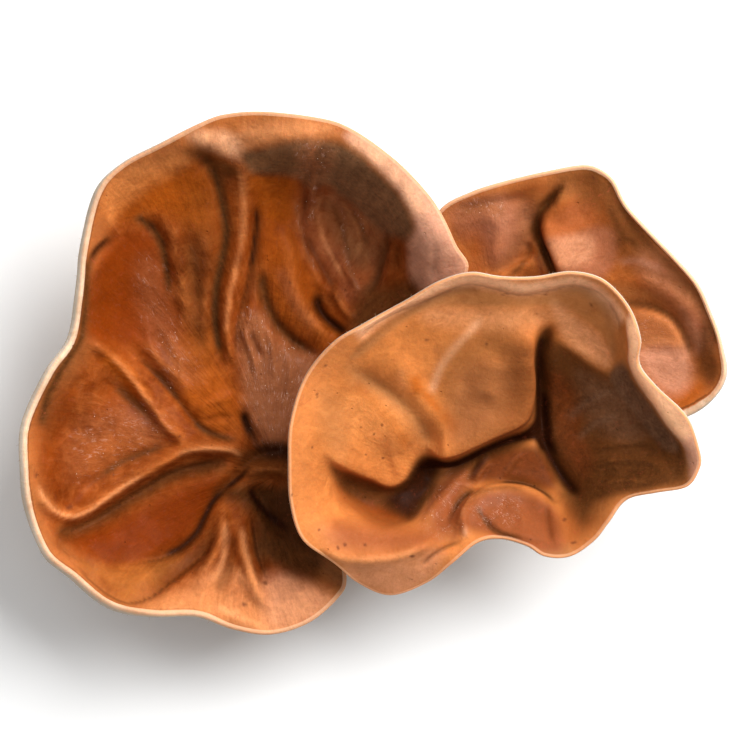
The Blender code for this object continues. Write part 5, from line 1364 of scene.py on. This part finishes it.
    relief = blots * 0.30 + grain * 0.20 + fine * (0.40 * lined)
    relief = relief + nodes.noise(at, *SKIN_GRAIN) * (0.05 + frost * 0.25) - pit * 0.4
    dull = (1 - side.between(*mask["outer side"])) * 0.2
    nodes.set(
        Base_Color=colour, Roughness=0.5 + blots * 0.2 + frost * 0.05 + dull,
        Coat_Weight=(0.02 + frost * 0.14) * side.between(*mask["hollow side"]),
        Normal=nodes.bump(relief, FLESH_RELIEF),
        Coat_Roughness=0.3, IOR=1.36, Subsurface_Weight=0.12, Subsurface_Scale=0.0012,
        Subsurface_Radius=(1.0, 0.36, 0.14), Specular_IOR_Level=0.05,
    )
    return nodes.material


def bead_material(name):
    """Frosty grains and beads of water on the flesh."""
    nodes = Nodes(name)
    at = nodes.place()
    shade = nodes.noise(at, 2.0).between(0.35, 0.65)
    nodes.set(
        Base_Color=nodes.mix(shade, BEAD_COLOURS[0], BEAD_COLOURS[1]), Roughness=0.18 + shade * 0.2,
        Coat_Weight=0.6 * shade, IOR=1.36, Subsurface_Weight=0.3, Subsurface_Scale=0.0008,
        Subsurface_Radius=(1.0, 0.6, 0.4),
    )
    return nodes.material


def down_material(name, tan):
    """Short pale hairs."""
    nodes = Nodes(name)
    shade = nodes.noise(nodes.place(), 4.0).between(0.35, 0.65)
    colour = nodes.mix(shade, OUTER_GREY, tan)
    nodes.set(Base_Color=colour, Roughness=0.6 + shade * 0.2, Sheen_Weight=0.3, Sheen_Roughness=0.5)
    return nodes.material


def bark_material(name, pale):
    """The holdfast: dark, fibrous and dull."""
    nodes = Nodes(name)
    at = nodes.place()
    fibre = nodes.noise(nodes.squeezed(at, (1.0, 1.0, 0.25)), 1.4, 5.0, 0.65, 0.8)
    cracks = nodes.cells(nodes.squeezed(at, (1.0, 1.0, 0.5)), 3.4, "DISTANCE_TO_EDGE")
    colour = nodes.mix(fibre.between(0.3, 0.7), BARK_BROWN, pale)
    colour = nodes.mix((1 - cracks.between(0.0, 0.12)) * 0.7, colour, BARK_CRACK)
    relief = fibre * 0.6 + cracks.between(0.0, 0.2) * 0.4
    nodes.set(
        Base_Color=colour, Roughness=0.7 + fibre * 0.25, Normal=nodes.bump(relief, 0.0009), IOR=1.45,
    )
    return nodes.material


def floor_material(name, pale):
    """Smooth, nearly white paper."""
    nodes = Nodes(name)
    shade = nodes.noise(nodes.place(), 300.0).between(0.2, 0.8)
    nodes.set(
        Base_Color=nodes.mix(shade, FLOOR_SHADE, pale), Roughness=0.85 + shade * 0.05,
        IOR=1.3,
    )
    return nodes.material


class Scatter:
    """A tree of geometry nodes that strews small copies of a shape over a mesh."""

    def __init__(self, name, sizes):
        self.tree = bpy.data.node_groups.new(name, "GeometryNodeTree")
        self.tree.is_modifier = True
        interface = self.tree.interface
        interface.new_socket("Geometry", in_out="INPUT", socket_type="NodeSocketGeometry")
        interface.new_socket("Geometry", in_out="OUTPUT", socket_type="NodeSocketGeometry")
        kinds = dict.fromkeys(("Density", *sizes), "NodeSocketFloat")
        kinds.update({"Seed": "NodeSocketInt", "Material": "NodeSocketMaterial"})
        self.identifiers = {}
        for label, kind in kinds.items():
            made = interface.new_socket(label, in_out="INPUT", socket_type=kind)
            self.identifiers[label] = made.identifier
        self.start = self.tree.nodes.new("NodeGroupInput")
        self.end = self.tree.nodes.new("NodeGroupOutput")

    def add(self, kind, settings, inputs, output=0):
        """One output of a new node."""
        return new_node(self.tree, kind, settings, inputs).outputs[output]

    def given(self, label):
        return self.start.outputs[label]

    def held(self, name):
        """A value that the mesh holds at each point."""
        return self.add("GeometryNodeInputNamedAttribute", {"data_type": "FLOAT"}, {"Name": name})

    def sum_of(self, kind, first, second):
        return self.add("ShaderNodeMath", {"operation": kind}, {0: first, 1: second})

    def number_from(self, least, most):
        """A number picked anew for each copy."""
        inputs = {2: least, 3: most, "Seed": self.given("Seed")}
        return self.add("FunctionNodeRandomValue", {"data_type": "FLOAT"}, inputs, 1)

    def strewn(self, share):
        """Points strewn over the mesh, as densely as is given where the share is 1."""
        density = self.sum_of("MULTIPLY", share, self.given("Density"))
        spread = {"Mesh": self.given("Geometry"), "Density": density, "Seed": self.given("Seed")}
        return self.add("GeometryNodeDistributePointsOnFaces", {}, spread, "Points")

    def finish(self, points, rotation, scale, shape):
        """Puts the shape on the points, as real mesh with the given material."""
        placed = {"Points": points, "Instance": shape, "Rotation": rotation, "Scale": scale}
        copies = self.add("GeometryNodeInstanceOnPoints", {}, placed)
        real = self.add("GeometryNodeRealizeInstances", {}, {"Geometry": copies})
        dressed = {"Geometry": real, "Material": self.given("Material")}
        done = self.add("GeometryNodeSetMaterial", {}, dressed)
        self.tree.links.new(done, self.end.inputs[0])

    def baked(self, source, name, values):
        """A new mesh: the tree's result on the source with the values."""
        piece = bpy.data.objects.new(name, source.data)
        bpy.context.scene.collection.objects.link(piece)
        modifier = piece.modifiers.new("scatter", "NODES")
        modifier.node_group = self.tree
        for label, value in values.items():
            modifier[self.identifiers[label]] = value
        bpy.context.view_layer.update()
        evaluated = piece.evaluated_get(bpy.context.evaluated_depsgraph_get())
        mesh = bpy.data.meshes.new_from_object(evaluated)
        bpy.data.objects.remove(piece, do_unlink=True)
        mesh.name = name
        return mesh


def bead_scatter():
    """Strews beads in clumps where the flesh is frosted."""
    tree = Scatter("beads", ("Least", "Most"))
    clump = tree.add("ShaderNodeTexNoise", {}, {"Scale": CLUMPS_PER_METRE, "Detail": 2.0})
    low, high = CLUMP_EDGE
    dense = tree.add("ShaderNodeMapRange", {}, {"Value": clump, "From Min": low, "From Max": high})
    points = tree.strewn(tree.sum_of("MULTIPLY", tree.held("frost"), dense))
    size = tree.number_from(tree.given("Least"), tree.given("Most"))
    flat = tree.sum_of("MULTIPLY", size, BEAD_HEIGHT)
    scale = tree.add("ShaderNodeCombineXYZ", {}, {"X": size, "Y": size, "Z": flat})
    ball = tree.add("GeometryNodeMeshIcoSphere", {}, {"Radius": 1.0, "Subdivisions": 2})
    tree.finish(points, points.node.outputs["Rotation"], scale, ball)
    return tree


def down_scatter():
    """Strews short hairs over the outer side, leaning every way."""
    tree = Scatter("down", ("Length", "Lean"))
    points = tree.strewn(tree.sum_of("LESS_THAN", tree.held("side"), HAIRY_SIDE))
    lean = tree.given("Lean")
    back = tree.sum_of("MULTIPLY", lean, -1.0)
    least = tree.add("ShaderNodeCombineXYZ", {}, {"X": back, "Y": back, "Z": -math.pi})
    most = tree.add("ShaderNodeCombineXYZ", {}, {"X": lean, "Y": lean, "Z": math.pi})
    turn = tree.add(
        "FunctionNodeRandomValue", {"data_type": "FLOAT_VECTOR"},
        {0: least, 1: most, "Seed": tree.given("Seed")},
    )
    rotation = tree.add(
        "FunctionNodeRotateRotation", {"rotation_space": "LOCAL"},
        {"Rotation": points.node.outputs["Rotation"], "Rotate By": turn},
    )
    length = tree.sum_of("MULTIPLY", tree.number_from(*HAIR_SIZES), tree.given("Length"))
    scale = tree.add("ShaderNodeCombineXYZ", {}, {"X": length, "Y": length, "Z": length})
    cone = {"Vertices": 3, "Radius Top": 0.0, "Radius Bottom": HAIR_SHARE, "Depth": 1.0}
    hair = tree.add("GeometryNodeMeshCone", {"fill_type": "NONE"}, cone)
    tree.finish(points, rotation, scale, hair)
    return tree


def add_piece(name, mesh, node=None):
    """Puts a finished mesh into the scene as a piece of the cluster."""
    piece = bpy.data.objects.new(name, mesh)
    bpy.context.scene.collection.objects.link(piece)
    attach(piece, "root")
    if node:
        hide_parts(node)


def holdfast_mesh():
    """The holdfast: a lumpy dome, flat below, with a facet under each neck."""
    shape = bmesh.new()
    bmesh.ops.create_icosphere(shape, subdivisions=HOLDFAST_FINISH, radius=1)
    half, middle = Vector(BASE_HALF), Vector((*BASE_CENTRE, 0))
    for vertex in shape.verts:
        way = vertex.co.normalized()
        place = Vector(a * b for a, b in zip(way, half))
        lump = sum(
            height * noise.noise(Vector((place.x, place.y, place.z * upright)) / size)
            for height, size, upright in HOLDFAST_LUMPS
        )
        vertex.co = (middle + place + way * lump) * MM
    cuts = [(Vector((0, 0, 0)), Vector((0, 0, -1)))]
    for design in EARS:
        place, way, _radius = design["joint"]
        way = Vector(way).normalized()
        cuts.append(((Vector(place) - way * JOINT_GAP) * MM, way))
    for place, way in cuts:
        everything = list(shape.verts) + list(shape.edges) + list(shape.faces)
        cut = bmesh.ops.bisect_plane(
            shape, geom=everything, plane_co=place, plane_no=way, clear_outer=True
        )
        edges = [item for item in cut["geom_cut"] if isinstance(item, bmesh.types.BMEdge)]
        bmesh.ops.contextual_create(shape, geom=edges)
    bmesh.ops.triangulate(shape, faces=[face for face in shape.faces if len(face.verts) > 3])
    bmesh.ops.recalc_face_normals(shape, faces=shape.faces)
    mesh = bpy.data.meshes.new("holdfast")
    shape.to_mesh(mesh)
    shape.free()
    mesh.shade_smooth()
    return mesh


def colour_setting(name, description, default):
    """A colour that can be changed in the panel."""
    return bpy.props.FloatVectorProperty(
        name=name, description=description, default=default, size=3, min=0.0, max=1.0, subtype="COLOR",
    )


class WoodEarSettings(bpy.types.PropertyGroup):
    """What the cluster is made from."""

    hollow: colour_setting("Hollow", "Main colour of the flesh in the hollows", FLESH_MAIN)
    deep: colour_setting("Deep flesh", "Colour of the flesh's darker clouds and streaks", FLESH_DEEP)
    rim: colour_setting("Rim", "Colour of the broad, pale rims", RIM_CREAM)
    outside: colour_setting("Outer side", "Colour of the outer side and its down", OUTER_TAN)
    bark: colour_setting("Bark", "Colour of the holdfast's paler fibres", BARK_PALE)
    flesh: bpy.props.FloatProperty(
        name="Flesh", description="Thickness of the flesh halfway out",
        default=0.0020, min=0.001, max=0.004, precision=4, unit="LENGTH", subtype="DISTANCE",
    )
    bead_density: bpy.props.FloatProperty(
        name="Beads", description="Frosty beads to a square centimetre where the frost is full",
        default=120.0, min=0.0, max=500.0,
    )
    bead_size: bpy.props.FloatProperty(
        name="Bead size", description="Radius of the largest bead",
        default=0.00011, min=0.00002, max=0.001, precision=5, unit="LENGTH", subtype="DISTANCE",
    )
    down_density: bpy.props.FloatProperty(
        name="Down", description="Hairs to a square centimetre of the outer side",
        default=80.0, min=0.0, max=500.0,
    )
    down_length: bpy.props.FloatProperty(
        name="Down length", description="Length of the down on the outer side",
        default=0.0007, min=0.0001, max=0.003, precision=5, unit="LENGTH", subtype="DISTANCE",
    )
    seed: bpy.props.IntProperty(
        name="Seed", description="Picks where the beads and the down fall", default=7,
    )


class StageSettings(bpy.types.PropertyGroup):
    """How the cluster is lit and seen."""

    floor: colour_setting("Floor", "Colour of the floor", FLOOR_PALE)
    key_watts: bpy.props.FloatProperty(
        name="Key light", description="Power of the soft light from the upper right",
        default=12.5, min=0.0, unit="POWER",
    )
    fill_watts: bpy.props.FloatProperty(
        name="Overhead light", description="Power of the wide light above",
        default=2.5, min=0.0, unit="POWER",
    )
    sky: bpy.props.FloatProperty(
        name="Sky", description="Strength of the white surroundings", default=0.36, min=0.0,
    )
    camera_height: bpy.props.FloatProperty(
        name="Camera height", description="How far the camera is above the cluster",
        default=4.0, min=1.0, unit="LENGTH", subtype="DISTANCE",
    )
    picture_width: bpy.props.FloatProperty(
        name="Picture width", description="Width of what the picture shows at the cluster",
        default=0.15, min=0.05, precision=3, unit="LENGTH", subtype="DISTANCE",
    )


class WOODEAR_OT_ears(bpy.types.Operator):
    """Makes the three ears"""

    bl_idname = "woodear.ears"
    bl_label = "Ears"

    def execute(self, context):
        settings = context.scene.wood_ear
        for design in EARS:
            mesh = ear_mesh(design, settings.flesh / MM)
            name = design["node"] + "_flesh"
            mesh.materials.append(flesh_material(name, design, settings))
            add_piece(name, mesh, design["node"])
        return {"FINISHED"}


class WOODEAR_OT_trimmings(bpy.types.Operator):
    """Strews the frosty beads and the down over the ears"""

    bl_idname = "woodear.trimmings"
    bl_label = "Beads and down"

    def execute(self, context):
        settings = context.scene.wood_ear
        bead_sizes = {
            "Density": settings.bead_density * PER_SQUARE_CM, "Least": settings.bead_size * BEAD_LEAST,
            "Most": settings.bead_size, "Material": bead_material("beads"),
        }
        down_sizes = {
            "Density": settings.down_density * PER_SQUARE_CM, "Length": settings.down_length,
            "Lean": HAIR_LEAN, "Material": down_material("down", tuple(settings.outside)),
        }
        trimmings = {"_beads": (bead_scatter(), bead_sizes), "_down": (down_scatter(), down_sizes)}
        for index, design in enumerate(EARS):
            source = bpy.data.objects[design["node"] + "_flesh"]
            for ending, (scatter, sizes) in trimmings.items():
                name = design["node"] + ending
                mesh = scatter.baked(source, name, {**sizes, "Seed": settings.seed + index})
                add_piece(name, mesh)
        return {"FINISHED"}


class WOODEAR_OT_holdfast(bpy.types.Operator):
    """Makes the holdfast under the ears"""

    bl_idname = "woodear.holdfast"
    bl_label = "Holdfast"

    def execute(self, context):
        mesh = holdfast_mesh()
        mesh.materials.append(bark_material("bark", tuple(context.scene.wood_ear.bark)))
        add_piece("holdfast", mesh, "base")
        return {"FINISHED"}


def area_light(name, place, size, watts):
    """A square light that faces the cluster."""
    light = bpy.data.lights.new(name, "AREA")
    light.size, light.energy = size, watts
    lamp = bpy.data.objects.new(name, light)
    lamp.location = place
    lamp.rotation_euler = (Vector(LIT_POINT) - Vector(place)).to_track_quat("-Z", "Y").to_euler()
    bpy.context.scene.collection.objects.link(lamp)


class WOODEAR_OT_stage(bpy.types.Operator):
    """Makes the floor, the lights and the camera, which looks straight down"""

    bl_idname = "woodear.stage"
    bl_label = "Stage"

    def execute(self, context):
        settings, scene = context.scene.wood_ear_stage, context.scene
        bpy.ops.mesh.primitive_plane_add(size=FLOOR_SIZE, location=(0, 0, FLOOR_DROP))
        floor = context.active_object
        floor.name = "floor"
        floor.data.materials.append(floor_material("paper", tuple(settings.floor)))
        area_light("key", KEY_PLACE, KEY_SIZE, settings.key_watts)
        area_light("overhead", FILL_PLACE, FILL_SIZE, settings.fill_watts)
        world = bpy.data.worlds.new("surroundings")
        world.use_nodes = True
        sky = world.node_tree.nodes["Background"]
        sky.inputs["Color"].default_value = (1, 1, 1, 1)
        sky.inputs["Strength"].default_value = settings.sky
        scene.world = world
        lens = bpy.data.cameras.new("camera")
        lens.sensor_width = SENSOR_WIDTH
        lens.lens = SENSOR_WIDTH * settings.camera_height / settings.picture_width
        lens.clip_start, lens.clip_end = SEEN_FROM_TO
        camera = bpy.data.objects.new("camera", lens)
        camera.location = (0, 0, settings.camera_height + SHARP_HEIGHT)
        scene.collection.objects.link(camera)
        scene.camera = camera
        scene.view_settings.view_transform = "Standard"
        return {"FINISHED"}


class WOODEAR_PT_panel(bpy.types.Panel):
    """The cluster's settings and steps"""

    bl_idname = "WOODEAR_PT_panel"
    bl_label = "Wood ear mushroom"
    bl_space_type = "VIEW_3D"
    bl_region_type = "UI"
    bl_category = "Wood ear"

    def draw(self, context):
        scene, layout = context.scene, self.layout
        for group in (scene.wood_ear, scene.wood_ear_stage):
            column = layout.column(align=True)
            for name in group.bl_rna.properties.keys():
                if name not in ("rna_type", "name"):
                    column.prop(group, name)
        for step in STEPS:
            layout.operator(step.bl_idname)


SETTINGS = {"wood_ear": WoodEarSettings, "wood_ear_stage": StageSettings}
STEPS = (WOODEAR_OT_ears, WOODEAR_OT_trimmings, WOODEAR_OT_holdfast, WOODEAR_OT_stage)


def register():
    for kind in (*SETTINGS.values(), *STEPS, WOODEAR_PT_panel):
        bpy.utils.register_class(kind)
    for name, kind in SETTINGS.items():
        setattr(bpy.types.Scene, name, bpy.props.PointerProperty(type=kind))


def unregister():
    for name in SETTINGS:
        delattr(bpy.types.Scene, name)
    for kind in (WOODEAR_PT_panel, *reversed(STEPS), *SETTINGS.values()):
        bpy.utils.unregister_class(kind)


def main():
    register()
    bpy.ops.woodear.ears()
    bpy.ops.woodear.trimmings()
    bpy.ops.woodear.holdfast()
    bpy.ops.woodear.stage()


if __name__ == "__main__":
    main()
